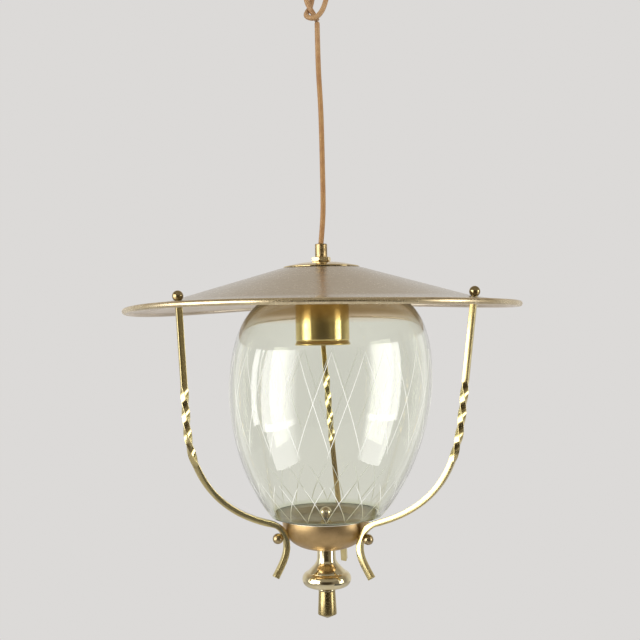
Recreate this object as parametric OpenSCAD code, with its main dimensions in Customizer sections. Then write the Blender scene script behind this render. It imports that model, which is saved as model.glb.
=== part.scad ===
// Hanging lantern: a spun hat, three twisted arms and a cut glass urn on a brass cup.
// The origin is the seat of the cord's loop, and everything hangs below it along -Z.

/* [Cord] */
// Thickness of the round cord
cord_d = 4.5; // [3.5:0.25:5]

/* [Grip and nut] */
// Diameter of the cord grip's body
grip_d = 10.5; // [10.2:0.1:13]
// Height of the cord grip's body
grip_h = 11.5; // [10:0.5:20]
// Diameter of the threaded spigot below the grip
thread_d = 9.8; // [9:0.1:10]
// Width across the flats of the hexagon nut
nut_flats = 15; // [13:0.5:18]
// Height of the hexagon nut
nut_h = 3.8; // [2.5:0.1:6]

/* [Crown disc] */
// Diameter of the crown disc
crown_d = 66; // [50:1:80]
// Rise of the crown disc from its edge to its middle
crown_rise = 5.2; // [3:0.1:9]

/* [Hat] */
// Width over the rolled rim
hat_d = 340; // [280:5:410]
// Width of the flat top that the crown disc covers
hat_top_d = 68; // [60:1:90]
// Height of the cone
hat_rise = 27.5; // [18:0.5:40]
// Thickness of the spun sheet
sheet = 0.9; // [0.7:0.05:1.2]
// Width of the flatter brim, from the cone to the middle of the bead
brim_w = 36.6; // [30:0.1:50]
// Slope of the brim
brim_slope = 6.5; // [3:0.5:10]
// Diameter of the rolled bead
bead_d = 4.8; // [3.5:0.1:7]

/* [Cage] */
// Side of the square bar
bar = 5; // [4.2:0.1:6]
// Distance from the middle of the bead in to the arm's stud
arm_inset = 30.6; // [22:0.1:34]
// Bearings of the rear, left and right arms at the hat
arm_bearings = [91, 213.5, 334]; // [80:0.5:345]
// Inward slope of the rear, left and right bars
bar_slopes = [6.4, 4, 6.4]; // [2:0.1:9]
// Sideways lean of the rear, left and right arms
arm_lean = [4.2, 1.9, 2.3]; // [0:0.1:6]
// Length of plain bar above the twist
plain_l = 68; // [50:1:80]
// Length of the twisted stretch
twist_l = 66; // [45:1:80]
// Turns in the twisted stretch
twist_turns = 1; // [0.5:0.25:2]
// Diameter of the ball nuts and ball heads
ball_d = 9; // [8:0.1:11]
// Diameter of the threaded studs on top of the arms
stud_d = 4; // [3:0.1:4.8]
// Diameter of the screws through the arms' feet
screw_d = 3; // [2.5:0.1:3.6]

/* [Cup and finial] */
// Diameter of the cup's rim
cup_d = 75.4; // [60:0.2:92]
// Depth of the cup
cup_h = 27.4; // [22:0.2:36]
// Wall of the cup
cup_wall = 1; // [0.8:0.1:1.5]
// Height from the cup's rim up to the hat's brim at the studs
cage_h = 188.3; // [156:0.1:226]
// Depth of the arms' screws below the cup's rim
foot_drop = 11; // [8:0.5:14]
// Diameter of the finial's neck
neck_d = 16.2; // [13:0.2:20]
// Height of the finial's neck
neck_h = 12; // [8:0.5:20]
// Height of the cove between the finial's neck and its ring
cove_h = 9; // [6:0.1:12]
// Diameter of the finial's ring
ring_d = 42.6; // [34:0.2:52]
// Height of the finial's ring
ring_h = 10.2; // [8:0.2:14]
// Length of the knob without its point
knob_h = 20.3; // [14:0.1:26]
// Diameter of the knob at its lower end
knob_d = 16.4; // [13:0.2:20]
// Diameter of the clamping rod
rod_d = 5; // [4:0.1:6]

/* [Glass] */
// Widest diameter of the glass
glass_d = 174; // [140:1:209]
// How far the heel stands out beyond the flat seat
heel_out = 6.5; // [3:0.5:12]
// Height of the heel above the seat
heel_rise = 3.8; // [2:0.1:6]
// How far the glass stands off the axis towards +X
glass_shift = 4; // [0:0.5:4]
// Depth of the dish in the middle of the floor
dish_depth = 4.4; // [2:0.1:6]
// Width of the slope from the seat down to the dish
dish_slope = 4.5; // [3:0.1:7]
// Diameter of the glass's mouth
mouth_d = 100; // [80:1:120]
// Wall of the glass
glass_wall = 2.4; // [2:0.1:4.5]
// Thickness of the glass's floor
floor_t = 3; // [2.5:0.1:4.5]
// Height of the glass's widest place above its heel
belly_h = 110; // [85:1:130]
// Gap between the glass's mouth and the hat above it
mouth_gap = 15.7; // [8:0.1:24]

/* [Lampholder] */
// Outer diameter of the brass sleeve
sleeve_d = 46.8; // [44:0.2:56]
// Length of the brass sleeve
sleeve_h = 62; // [58:0.5:70]
// Wall of the sleeve and of the holder's cap
sleeve_wall = 0.8; // [0.6:0.1:1]
// Inner diameter of the lamp's screw shell
shell_bore = 26.6; // [26.4:0.1:27]
// Length of the screw shell
shell_h = 17; // [14:0.5:20]
// Diameter of the porcelain body
body_d = 38; // [36:0.5:40]

/* [Fits] */
// Gap round a piece that turns or slides
running_gap = 0.05; // [0.03:0.01:0.08]
// Gap round a screw or rod in a plain hole
hole_gap = 0.2; // [0.15:0.05:0.4]
// Gap between pieces that rest on each other where they curve
seat_gap = 0.1; // [0.05:0.05:0.2]
// Gap between the cord's round ends and their seats
cord_gap = 0.3; // [0.25:0.05:0.4]

/* [Hidden] */
$fn = 64;

brass = [0.80, 0.66, 0.34];
dull_brass = [0.66, 0.55, 0.30];
satin_copper = [0.74, 0.56, 0.38];
lacquer = [0.66, 0.61, 0.53];
cord_gold = [0.66, 0.49, 0.27];
porcelain = [0.93, 0.92, 0.88];
steel = [0.62, 0.62, 0.60];
clear_glass = [0.78, 0.84, 0.74, 0.35];
felt = [0.16, 0.18, 0.14];

// Route of the cord's straight stretch, from the knot down to the grip's mouth
cord_route = [
  [0, 0, -43], [0.1, 0, -60], [0.5, 0, -85], [1.9, 0, -120],
  [2.4, 0, -165], [2.3, 0, -205], [0, 0, -234]
];
// Route of the loop and its half hitch, from the standing end round to the short tail
knot_route = [
  [0, 0, -40.4], [-1.2, 0, -37.8], [-3.2, 0, -34.4], [-6, 0, -29.5], [-8.8, 0, -23], [-9.6, 0, -14],
  [-7.4, 0, -4.5], [-3, 0, 1.2], [1.5, 0, 1.9], [6, 0, -2.5], [8.6, -0.6, -10], [8.8, -2, -18],
  [7.2, -3.6, -26], [4.4, -4.7, -33], [0.6, -5, -37.6], [-3.4, -5, -39.4], [-7.2, -3.4, -38.4],
  [-9.4, 0, -35.6], [-8.6, 3.6, -32], [-6, 5, -27.5], [-4.4, 5, -22], [-3.6, 4.8, -17]
];
cord_sides = 8;
dome_angles = [25, 50, 75];

mouth_z = cord_route[len(cord_route) - 1].z;
nut_top_z = mouth_z - grip_h;
crown_top_z = nut_top_z - nut_h;
hat_top_z = crown_top_z - crown_rise - seat_gap;
bead_r = hat_d / 2 - bead_d / 2;
break_r = bead_r - brim_w;
hat_hole_r = thread_d / 2 + hole_gap;
break_z = hat_top_z - hat_rise;
stud_r = bead_r - arm_inset;
stud_z = break_z - (stud_r - break_r) * tan(brim_slope);
ball_flat = 0.8;
stud_l = ball_d - 2.2;
cup_z = stud_z - cage_h;
cup_power = 2.5;
cup_flat_r = neck_d / 2 + 1;

bush_h = grip_h - 2.5;
bush_r = grip_d / 2 - 1.35;
washer_t = 0.8;
lock_nut_h = 3;
lock_nut_flats = nut_flats - 1;
lock_z = hat_top_z - sheet - washer_t;
sleeve_top_z = lock_z - lock_nut_h;
cap_boss_h = 8;
cap_dome_h = 9;
cap_top_z = sleeve_top_z - sleeve_wall;
cap_dome_z = cap_top_z - cap_boss_h;
spigot_end_z = cap_dome_z - 1;
tail_end_z = spigot_end_z - 2;
body_top_z = cap_dome_z - cap_dome_h - 3;
body_h = 36;
shell_wall = 0.6;
shell_inset = 2;
shell_top_z = body_top_z - body_h + shell_inset + shell_h;
contact_z = shell_top_z + 6.5;
contact_w = 6;
well_depth = 3;
rivet_d = 3;
terminal_d = 3;
terminal_x = 11;
conductor_d = 1.8;

glass_hole_r = rod_d / 2 + glass_shift + 0.5;
seat_ring_t = 0.6;
seat_ring_w = 3;
seat_z = cup_z + seat_ring_t + seat_gap;
seat_in_r = cup_d / 2 - seat_ring_w - glass_shift;
seat_out_r = cup_d / 2 + glass_shift;
heel_r = seat_out_r + heel_out;
dish_r = seat_in_r - dish_slope;
plate_r = dish_r - glass_shift - seat_gap;
heel_z = seat_z + heel_rise;
floor_z = seat_z - dish_depth;
rod_nut_z = floor_z + floor_t + washer_t + seat_gap;
belly = [glass_d / 2, heel_z + belly_h];
mouth = [mouth_d / 2, hat_z(mouth_d / 2) - sheet - mouth_gap];

foot_r = cup_radius(foot_drop);
foot_tilt = cup_tilt(foot_drop);
finial_z = floor((cup_z - cup_depth(cup_flat_r)) * 1000) / 1000;
ring_z = finial_z - neck_h - cove_h;
collar_h = 5;
knob_z = ring_z - ring_h - collar_h;
point_h = 3.3;

// Middle lines of the arms as radius and height: plain bar, sweep in to the cup, foot and flared tail
stud_down = [-sin(brim_slope), -cos(brim_slope)];
arm_top = [stud_r, stud_z] + (sheet + seat_gap) * stud_down;
lead_l = 28;
foot_out = [cos(foot_tilt), -sin(foot_tilt)];
foot_down = [-sin(foot_tilt), -cos(foot_tilt)];
foot = [foot_r, cup_z - foot_drop] + (bar / 2 + seat_gap) * foot_out;
sweep_end = foot + [12.8, 11.4];
sweep_dir = [cos(17), sin(17)];
tail_end = foot + [9, -35];
tail_dir = unit([5, -8]);
bend_pull = 38;
sweep_pull = 61;
elbow_pull = 6;
tail_pull = 15;
arm_profiles = [for (slope = bar_slopes) let (
    bar_down = [-sin(slope), -cos(slope)],
    bend_start = arm_top + (plain_l + lead_l) * bar_down
  ) concat(
    [for (k = [0:8]) arm_top + k / 8 * plain_l * bar_down],
    [for (k = [1:10]) arm_top + (plain_l + k / 10 * lead_l) * bar_down],
    bezier_points(
      bend_start, bend_start + bend_pull * bar_down, sweep_end + sweep_pull * sweep_dir, sweep_end, 34
    ),
    bezier_points(sweep_end, sweep_end - elbow_pull * sweep_dir, foot - elbow_pull * foot_down, foot, 5),
    bezier_points(foot, foot + tail_pull * foot_down, tail_end - tail_pull * tail_dir, tail_end, 12)
  )];
neck_l = bar + 2 * seat_gap + ball_d / 2 * tan(max(arm_lean));
foot_nut_flats = 5.5;
foot_nut_h = 2.4;
foot_nut_drop = cup_wall + seat_gap + pow(foot_nut_flats, 2) / 2 / cup_h;

// Outline of the cup: a superellipse, as a radius for a depth, a depth for a radius and a slope
function cup_radius(depth, inset = 0) =
  (cup_d / 2 - inset) * pow(1 - pow(depth / (cup_h - inset), cup_power), 1 / cup_power);
function cup_depth(radius, inset = 0) =
  (cup_h - inset) * pow(1 - pow(radius / (cup_d / 2 - inset), cup_power), 1 / cup_power);
function cup_tilt(depth) =
  atan2(pow(depth, cup_power - 1) / pow(cup_h, cup_power),
        pow(cup_radius(depth), cup_power - 1) / pow(cup_d / 2, cup_power));

function unit(v) = v / norm(v);
function bezier(a, b, c, d, t) =
  pow(1 - t, 3) * a + 3 * pow(1 - t, 2) * t * b + 3 * (1 - t) * t * t * c + pow(t, 3) * d;
function bezier_points(a, b, c, d, steps) = [for (i = [1:steps]) bezier(a, b, c, d, i / steps)];
function arc_points(centre, rx, rz, from, to, steps) =
  [for (i = [0:steps]) let (a = from + (to - from) * i / steps) centre + [rx * cos(a), rz * sin(a)]];
function tangents(p) =
  [for (i = [0:len(p) - 1]) unit(p[min(i + 1, len(p) - 1)] - p[max(i - 1, 0)])];
function run_length(p) =
  [for (i = 0, s = 0; i < len(p); i = i + 1, s = i < len(p) ? s + norm(p[i] - p[i - 1]) : s) s];

// A smooth line through hand-chosen points, with a few steps between each two
function between(p, i, t) =
  let (a = p[max(i - 1, 0)], b = p[i], c = p[i + 1], d = p[min(i + 2, len(p) - 1)])
  0.5 * (2 * b + (c - a) * t + (2 * a - 5 * b + 4 * c - d) * t * t + (3 * b - a - 3 * c + d) * pow(t, 3));
function smooth_line(p, steps) =
  concat([for (i = [0:len(p) - 2], j = [0:steps - 1]) between(p, i, j / steps)], [p[len(p) - 1]]);

// Side directions carried along a line without spinning
function carried(t) =
  [for (i = 0, n = unit(cross(t[0], [0.1, 1, 0.05])); i < len(t);
        i = i + 1, n = i < len(t) ? unit(n - (n * t[i]) * t[i]) : n) n];

// Skin over a stack of rings that all have the same number of points
module ring_skin(rings) {
  sides = len(rings[0]);
  last = len(rings) - 1;
  points = [for (ring = rings, p = ring) p];
  faces = concat(
    [for (i = [1:sides - 2]) [0, i, i + 1]],
    [for (i = [1:sides - 2]) [last * sides, last * sides + i + 1, last * sides + i]],
    [for (k = [0:last - 1], i = [0:sides - 1])
      let (j = (i + 1) % sides) [k * sides + i, (k + 1) * sides + i, k * sides + j]],
    [for (k = [0:last - 1], i = [0:sides - 1])
      let (j = (i + 1) % sides) [(k + 1) * sides + i, (k + 1) * sides + j, k * sides + j]]
  );
  polyhedron(points = points, faces = faces);
}

// A round tube along a line, with flat or round ends
module cord_tube(line, radius, round_ends) {
  t = tangents(line);
  n = carried(t);
  last = len(line) - 1;
  steps = concat(
    round_ends ? [for (i = [2:-1:0]) [0, -radius * sin(dome_angles[i]), radius * cos(dome_angles[i])]] : [],
    [for (i = [0:last]) [i, 0, radius]],
    round_ends ? [for (a = dome_angles) [last, radius * sin(a), radius * cos(a)]] : []
  );
  ring_skin([for (s = steps) let (i = s[0], b = cross(t[i], n[i]))
    [for (k = [0:cord_sides - 1]) let (a = 360 * k / cord_sides)
      line[i] + s[1] * t[i] + s[2] * (cos(a) * n[i] + sin(a) * b)]]);
}

module hexagon(flats, height) {
  cylinder(d = flats / cos(30), h = height, $fn = 6);
}

module cord_knot() {
  color(cord_gold) cord_tube(smooth_line(knot_route, 2), cord_d / 2, false);
}

module cord() {
  color(cord_gold) cord_tube(smooth_line(cord_route, 3), cord_d / 2, true);
}

// The clamped end of the cord, inside the grip
module cord_tail() {
  top = mouth_z - cord_d / 2 - 2 * cord_gap;
  color(cord_gold) translate([0, 0, tail_end_z]) cylinder(d = cord_d, h = top - tail_end_z);
}

module grip_bush() {
  color("ivory") translate([0, 0, mouth_z]) difference() {
    translate([0, 0, -bush_h]) cylinder(r = bush_r, h = bush_h);
    sphere(r = cord_d / 2 + cord_gap);
    translate([0, 0, -bush_h - 1]) cylinder(r = cord_d / 2 + running_gap, h = bush_h);
  }
}

module cord_grip() {
  edge = 0.5;
  cord_bore_r = cord_d / 2 + 0.6;
  color(brass) difference() {
    union() {
      translate([0, 0, nut_top_z]) cylinder(d = grip_d, h = grip_h - edge);
      translate([0, 0, mouth_z - edge]) cylinder(d1 = grip_d, d2 = grip_d - 2 * edge, h = edge);
      translate([0, 0, spigot_end_z]) cylinder(d = thread_d, h = nut_top_z - spigot_end_z + 1);
    }
    translate([0, 0, mouth_z - bush_h - seat_gap]) cylinder(r = bush_r + running_gap, h = bush_h + 1);
    translate([0, 0, spigot_end_z - 1]) cylinder(r = cord_bore_r, h = mouth_z - spigot_end_z);
  }
}

module top_nut() {
  color(brass) translate([0, 0, nut_top_z - nut_h]) difference() {
    hexagon(nut_flats, nut_h);
    translate([0, 0, -1]) cylinder(r = thread_d / 2 + running_gap, h = nut_h + 2);
  }
}

// A shallow spun dome that covers the hat's flat top
module crown_disc() {
  rise = crown_rise - sheet;
  dome_r = (pow(crown_d / 2, 2) + pow(rise, 2)) / (2 * rise);
  span = asin(crown_d / 2 / dome_r);
  hole = asin(hat_hole_r / dome_r);
  centre = [0, crown_top_z - dome_r];
  color(brass) rotate_extrude($fn = 96) polygon(concat(
    arc_points(centre, dome_r, dome_r, 90 - hole, 90 - span, 12),
    arc_points(centre - [0, sheet], dome_r, dome_r, 90 - span, 90 - hole, 12)
  ));
}

function hat_z(r) =
  r < break_r ? hat_top_z - hat_rise * (r - hat_top_d / 2) / (break_r - hat_top_d / 2)
              : break_z - (r - break_r) * tan(brim_slope);

module on_stud(i) {
  rotate([0, 0, arm_bearings[i]]) translate([stud_r, 0, stud_z]) rotate([0, brim_slope, 0])
    children();
}

module hat() {
  edge_r = bead_r - 0.5;
  bead_z = hat_z(bead_r) - sheet / 2;
  color(lacquer) difference() {
    union() {
      rotate_extrude($fn = 128) polygon([
        [hat_hole_r, hat_top_z], [hat_top_d / 2, hat_top_z],
        [break_r, break_z], [edge_r, hat_z(edge_r)],
        [edge_r, hat_z(edge_r) - sheet], [break_r, break_z - sheet],
        [hat_top_d / 2, hat_top_z - sheet], [hat_hole_r, hat_top_z - sheet]
      ]);
      rotate_extrude($fn = 128) translate([bead_r, bead_z]) circle(d = bead_d, $fn = 32);
    }
    for (i = [0:2]) on_stud(i) translate([0, 0, -5]) cylinder(d = stud_d + 2 * hole_gap, h = 10);
  }
}

module lock_washer() {
  color(steel) translate([0, 0, lock_z]) difference() {
    cylinder(d = lock_nut_flats + 4, h = washer_t);
    translate([0, 0, -1]) cylinder(r = hat_hole_r, h = washer_t + 2);
  }
}

module lock_nut() {
  color(brass) translate([0, 0, sleeve_top_z]) difference() {
    hexagon(lock_nut_flats, lock_nut_h);
    translate([0, 0, -1]) cylinder(r = thread_d / 2 + running_gap, h = lock_nut_h + 2);
  }
}

// A plain drawn sleeve with a rounded top corner and a groove above its rolled lip
module holder_sleeve() {
  r = sleeve_d / 2;
  inner = r - sleeve_wall;
  corner = 3;
  corner_centre = [r - corner, sleeve_top_z - corner];
  lip_z = sleeve_top_z - sleeve_h + 0.9;
  groove_z = lip_z + 3;
  groove_r = 0.7;
  backing = 0.3;
  color(brass) {
    rotate_extrude($fn = 96) polygon(concat(
      [[hat_hole_r, sleeve_top_z]],
      arc_points(corner_centre, corner, corner, 90, 0, 6),
      [[r, groove_z + groove_r], [r - 0.5, groove_z], [r, groove_z - groove_r], [r, lip_z],
       [inner - backing, lip_z], [inner - backing, groove_z + 1.3], [inner, groove_z + 1.7]],
      arc_points(corner_centre, corner - sleeve_wall, corner - sleeve_wall, 0, 90, 6),
      [[hat_hole_r, sleeve_top_z - sleeve_wall]]
    ));
    rotate_extrude($fn = 96) translate([r - 0.1, lip_z]) circle(r = 0.9, $fn = 20);
  }
}

module holder_cap() {
  inner = body_d / 2 + hole_gap;
  outer = inner + sleeve_wall;
  skirt_z = body_top_z - 8;
  bore = thread_d / 2 + running_gap;
  boss_r = bore + 2.4;
  dome_centre = [boss_r, cap_dome_z - cap_dome_h];
  color(brass) rotate_extrude() polygon(concat(
    [[bore, cap_top_z], [boss_r, cap_top_z], [boss_r, cap_dome_z]],
    arc_points(dome_centre, outer - boss_r, cap_dome_h, 90, 0, 8),
    [[outer, skirt_z], [inner, skirt_z]],
    arc_points(dome_centre, inner - boss_r, cap_dome_h - sleeve_wall, 0, 90, 8),
    [[bore, cap_dome_z - sleeve_wall]]
  ));
}

// Porcelain body: a deep bore for the screw shell below and a shallow well for the terminals above
module holder_body() {
  end = body_top_z - body_h;
  color(porcelain) translate([0, 0, end]) difference() {
    cylinder(d = body_d, h = body_h);
    translate([0, 0, -1]) cylinder(r = shell_bore / 2 + shell_wall + seat_gap, h = shell_top_z - end + 1);
    cylinder(d = contact_w + 12, h = contact_z - end);
    translate([0, 0, body_h - well_depth]) cylinder(d = body_d - 10, h = well_depth + 1);
    for (side = [-1, 1]) translate([side * terminal_x, 0, body_h - 8])
      cylinder(d = terminal_d + hole_gap, h = 6);
    cylinder(d = rivet_d + 2 * hole_gap, h = body_h);
  }
}

module screw_shell() {
  color(brass) translate([0, 0, shell_top_z - shell_h]) difference() {
    cylinder(d = shell_bore + 2 * shell_wall, h = shell_h);
    translate([0, 0, -1]) cylinder(d = shell_bore, h = shell_h - 2 * shell_wall + 1);
    cylinder(d = 16, h = shell_h + 1);
  }
}

// A springy tongue, folded back under its root, on a rivet that runs up through the body
module centre_contact() {
  t = 0.6;
  root_z = -0.7;
  tip_z = -5.6;
  color(brass) translate([0, 0, contact_z]) {
    translate([0, contact_w / 2, 0]) rotate([90, 0, 0]) linear_extrude(contact_w) polygon([
      [-3, root_z], [4, root_z], [6.6, root_z - 1.5], [-4.5, tip_z - t], [-4.5, tip_z], [5, root_z - 1.3],
      [3.6, root_z - t], [-3, root_z - t]
    ]);
    translate([0, 0, root_z - 0.2]) cylinder(d = rivet_d, h = body_top_z - contact_z - 2);
  }
}

module terminal_screws() {
  head_d = 5.4;
  head_h = 2;
  slot_w = 0.8;
  color(steel) for (side = [-1, 1]) translate([side * terminal_x, 0, body_top_z - well_depth]) difference() {
    union() {
      translate([0, 0, seat_gap]) cylinder(d = head_d, h = head_h);
      translate([0, 0, -4]) cylinder(d = terminal_d, h = 5);
    }
    translate([-head_d / 2 - 1, -slot_w / 2, head_h - 0.7]) cube([head_d + 2, slot_w, 2]);
  }
}

// Two insulated wires from the cord's end out to the terminals
module conductors() {
  z = body_top_z - well_depth;
  start = tail_end_z - cord_gap;
  color("saddlebrown") for (side = [-1, 1]) cord_tube(smooth_line([
    [side * 1.1, 0, start], [side * 1.3, 0, start - 2.5], [side * 4, 2.4, (start + z) / 2 + 1],
    [side * 9, 3.8, z + 4], [side * terminal_x, 3.8, z + 1.2]
  ], 2), conductor_d / 2, false);
}

function arm_bearing(i, p) =
  arm_bearings[i] - asin((arm_top.y - p.y) * tan(arm_lean[i]) / p.x);
function around(r, z, bearing) = [r * cos(bearing), r * sin(bearing), z];
function foot_bearing(i) = arm_bearing(i, foot);

// Square bar along an arm's line, turning where it is twisted, with its top end flat against the brim
module bar_along(i) {
  profile = arm_profiles[i];
  run = run_length(profile);
  line = [for (p = profile) around(p.x, p.y, arm_bearing(i, p))];
  along = tangents(line);
  t = [for (k = [0:len(line) - 1]) k > 0 ? along[k] : around(stud_down.x, stud_down.y, arm_bearings[i])];
  ring_skin([for (k = [0:len(line) - 1]) let (
      b = arm_bearing(i, profile[k]),
      across = [-sin(b), cos(b), 0],
      side = unit(across - (across * t[k]) * t[k]),
      out = cross(side, t[k]),
      turn = -360 * twist_turns * min(max((run[k] - plain_l) / twist_l, 0), 1))
    [for (c = [0:3]) let (a = turn + 45 + 90 * c) line[k] + bar / sqrt(2) * (cos(a) * out + sin(a) * side)]]);
}

module at_foot(i) {
  rotate([0, 0, foot_bearing(i)]) translate([foot_r, 0, cup_z - foot_drop]) rotate([0, 90 + foot_tilt, 0])
    children();
}

module arm(i) {
  color(brass) difference() {
    union() {
      bar_along(i);
      on_stud(i) translate([0, 0, -sheet - seat_gap - 1])
        cylinder(d = stud_d, h = sheet + seat_gap + 1 + stud_l);
    }
    at_foot(i) translate([0, 0, -2]) cylinder(d = screw_d + 2 * hole_gap, h = bar + 6);
  }
}

// A ball that stands on a small flat
module ball() {
  difference() {
    translate([0, 0, ball_d / 2 - ball_flat]) sphere(d = ball_d, $fn = 48);
    translate([0, 0, -2]) cylinder(d = ball_d, h = 2);
  }
}

// A ball with a blind threaded hole
module ball_nut(bore_d) {
  color(dull_brass) difference() {
    ball();
    translate([0, 0, -1]) cylinder(d = bore_d + 2 * running_gap, h = stud_l + hole_gap + 1);
  }
}

module rim_ball_nut(i) {
  on_stud(i) translate([0, 0, seat_gap]) ball_nut(stud_d);
}

module foot_screws() {
  end = foot_nut_drop + foot_nut_h + 0.5;
  color(dull_brass) for (i = [0:2]) at_foot(i) {
    translate([0, 0, neck_l]) ball();
    translate([0, 0, -end]) cylinder(d = screw_d, h = end + neck_l + 1);
  }
}

module foot_nuts() {
  color(steel) for (i = [0:2]) at_foot(i) translate([0, 0, -foot_nut_drop - foot_nut_h]) difference() {
    hexagon(foot_nut_flats, foot_nut_h);
    translate([0, 0, -1]) cylinder(d = screw_d + 2 * running_gap, h = foot_nut_h + 2);
  }
}

// Blown urn with a rounded shoulder, a wide mouth, a flat seat and a floor that is dished in the middle
module glass() {
  outside = concat(
    [[heel_r, heel_z]],
    bezier_points([heel_r, heel_z], [heel_r + 26, heel_z + 22], belly - [0, 43], belly, 14),
    bezier_points(belly, belly + [0, 35], mouth + [26, -6], mouth, 14)
  );
  t = tangents(outside);
  last = len(outside) - 1;
  inside = [for (i = [last:-1:0]) outside[i] + glass_wall * [-t[i].y, t[i].x]];
  color(clear_glass) translate([glass_shift, 0, 0]) rotate_extrude($fn = 96) polygon(concat(
    [[glass_hole_r, floor_z], [dish_r, floor_z], [seat_in_r, seat_z], [seat_out_r, seat_z]],
    outside,
    inside,
    [[seat_out_r, seat_z + floor_t], [seat_in_r, seat_z + floor_t], [dish_r, floor_z + floor_t],
     [glass_hole_r, floor_z + floor_t]]
  ));
}

// Thin ring between the cup's rim and the glass
module seat_ring() {
  color(felt) translate([0, 0, cup_z]) difference() {
    cylinder(d = cup_d, h = seat_ring_t);
    translate([0, 0, -1]) cylinder(d = cup_d - 2 * seat_ring_w, h = seat_ring_t + 2);
  }
}

module cup() {
  steps = 20;
  inner_flat_r = cup_flat_r - 0.4;
  outer_arc = [for (i = [0:steps]) let (d = cup_depth(cup_flat_r) * sin(90 * i / steps)) [cup_radius(d), -d]];
  inner_arc = [for (i = [steps:-1:0])
    let (d = cup_depth(inner_flat_r, cup_wall) * sin(90 * i / steps)) [cup_radius(d, cup_wall), -d]];
  hole_r = rod_d / 2 + hole_gap;
  color(satin_copper) difference() {
    translate([0, 0, cup_z]) rotate_extrude($fn = 96) polygon(concat(
      outer_arc,
      [[hole_r, -cup_depth(cup_flat_r)], [hole_r, -cup_depth(inner_flat_r, cup_wall)]],
      inner_arc
    ));
    for (i = [0:2]) at_foot(i) translate([0, 0, -4]) cylinder(d = screw_d + 2 * hole_gap, h = 8);
  }
}

module rod() {
  end = knob_z - knob_h + 6;
  color(steel) translate([0, 0, end]) cylinder(d = rod_d, h = rod_nut_z + stud_l - end);
}

module rod_ball_nut() {
  translate([0, 0, rod_nut_z]) ball_nut(rod_d);
}

module rod_washer() {
  color(brass) translate([0, 0, floor_z + floor_t]) difference() {
    cylinder(r = plate_r, h = washer_t);
    translate([0, 0, -1]) cylinder(r = rod_d / 2 + hole_gap, h = washer_t + 2);
  }
}

// Turned finial: straight neck, cove, bulged ring and a thin collar
module finial_body() {
  neck_r = neck_d / 2;
  ring_r = ring_d / 2;
  bulge = 6;
  lip_r = ring_r - bulge + bulge * cos(60);
  cove_top = finial_z - neck_h;
  hole_r = rod_d / 2 + hole_gap;
  color(brass) rotate_extrude($fn = 96) polygon(concat(
    [[hole_r, finial_z], [neck_r, finial_z]],
    arc_points([lip_r, cove_top], neck_r - lip_r, cove_top - ring_z - 0.4, 0, -90, 10),
    arc_points([ring_r - bulge, ring_z - ring_h / 2], bulge, ring_h / 2, 60, -90, 16),
    [[neck_r - 0.6, ring_z - ring_h - 0.4], [neck_r, ring_z - ring_h - 0.9],
     [neck_r, knob_z + 0.5], [neck_r - 0.9, knob_z], [hole_r, knob_z]]
  ));
}

module finial_knob() {
  r = knob_d / 2;
  z = knob_z - seat_gap;
  bore = rod_d / 2 + running_gap;
  end = z - knob_h;
  color(dull_brass) rotate_extrude($fn = 96) polygon([
    [bore, z], [r - 1, z], [r, end], [r * 0.4, end - point_h * 0.65],
    [0, end - point_h], [0, end + 4], [bore, end + 4]
  ]);
}

cord_knot();
cord();
cord_tail();
grip_bush();
cord_grip();
top_nut();
crown_disc();
hat();
lock_washer();
lock_nut();
holder_sleeve();
holder_cap();
holder_body();
screw_shell();
centre_contact();
terminal_screws();
conductors();
arm(0);  // arm_rear
arm(1);  // arm_left
arm(2);  // arm_right
rim_ball_nut(0);  // ball_nut_rear
rim_ball_nut(1);  // ball_nut_left
rim_ball_nut(2);  // ball_nut_right
foot_screws();
foot_nuts();
glass();
seat_ring();
cup();
rod();
rod_ball_nut();
rod_washer();
finial_body();
finial_knob();
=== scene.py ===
import math

import bmesh
import bpy
from mathutils import Matrix, Quaternion, Vector


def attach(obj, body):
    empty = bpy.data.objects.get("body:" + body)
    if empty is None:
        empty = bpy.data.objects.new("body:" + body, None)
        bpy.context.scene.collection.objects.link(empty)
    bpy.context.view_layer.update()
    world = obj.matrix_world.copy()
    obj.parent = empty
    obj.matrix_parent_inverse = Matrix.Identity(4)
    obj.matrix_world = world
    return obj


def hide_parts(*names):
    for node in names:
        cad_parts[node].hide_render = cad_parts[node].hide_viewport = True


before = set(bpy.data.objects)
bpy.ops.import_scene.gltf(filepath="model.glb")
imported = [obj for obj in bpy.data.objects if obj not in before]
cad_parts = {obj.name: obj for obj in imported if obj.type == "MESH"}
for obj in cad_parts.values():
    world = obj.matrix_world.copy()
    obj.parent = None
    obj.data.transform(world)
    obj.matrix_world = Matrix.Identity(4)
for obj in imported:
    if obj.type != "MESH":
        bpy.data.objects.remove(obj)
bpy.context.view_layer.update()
MM = 0.001

# The camera stands level with the glass's shoulder, a little under a metre off, behind a longish lens.
# The lamp hangs about a degree off plumb in the photograph, and the camera's roll repeats that.
CAMERA_SPOT, CAMERA_ROLL, CAMERA_LENS = (-0.0020, -0.890, -0.300), 1.0, 57.7
bpy.ops.object.select_all(action="DESELECT")
bpy.ops.object.camera_add(location=CAMERA_SPOT, rotation=(math.radians(90), math.radians(CAMERA_ROLL), 0))
camera = bpy.context.object
camera.data.lens = CAMERA_LENS
bpy.context.scene.camera = camera
bpy.context.scene.view_settings.view_transform = "Standard"

# Studio: a pale floor far below the hanging lamp, a pale room behind it and a dim one behind the camera.
# Soft panels at both sides show in gloss only, and three area lamps give the light.
PALE = (0.715, 0.700, 0.686)
WHITE, BLACK = (1, 1, 1), (0, 0, 0)
FLOOR_Z, FLOOR_SIZE, FLOOR_GLOW = -1.75, 6, 0.85


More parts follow.
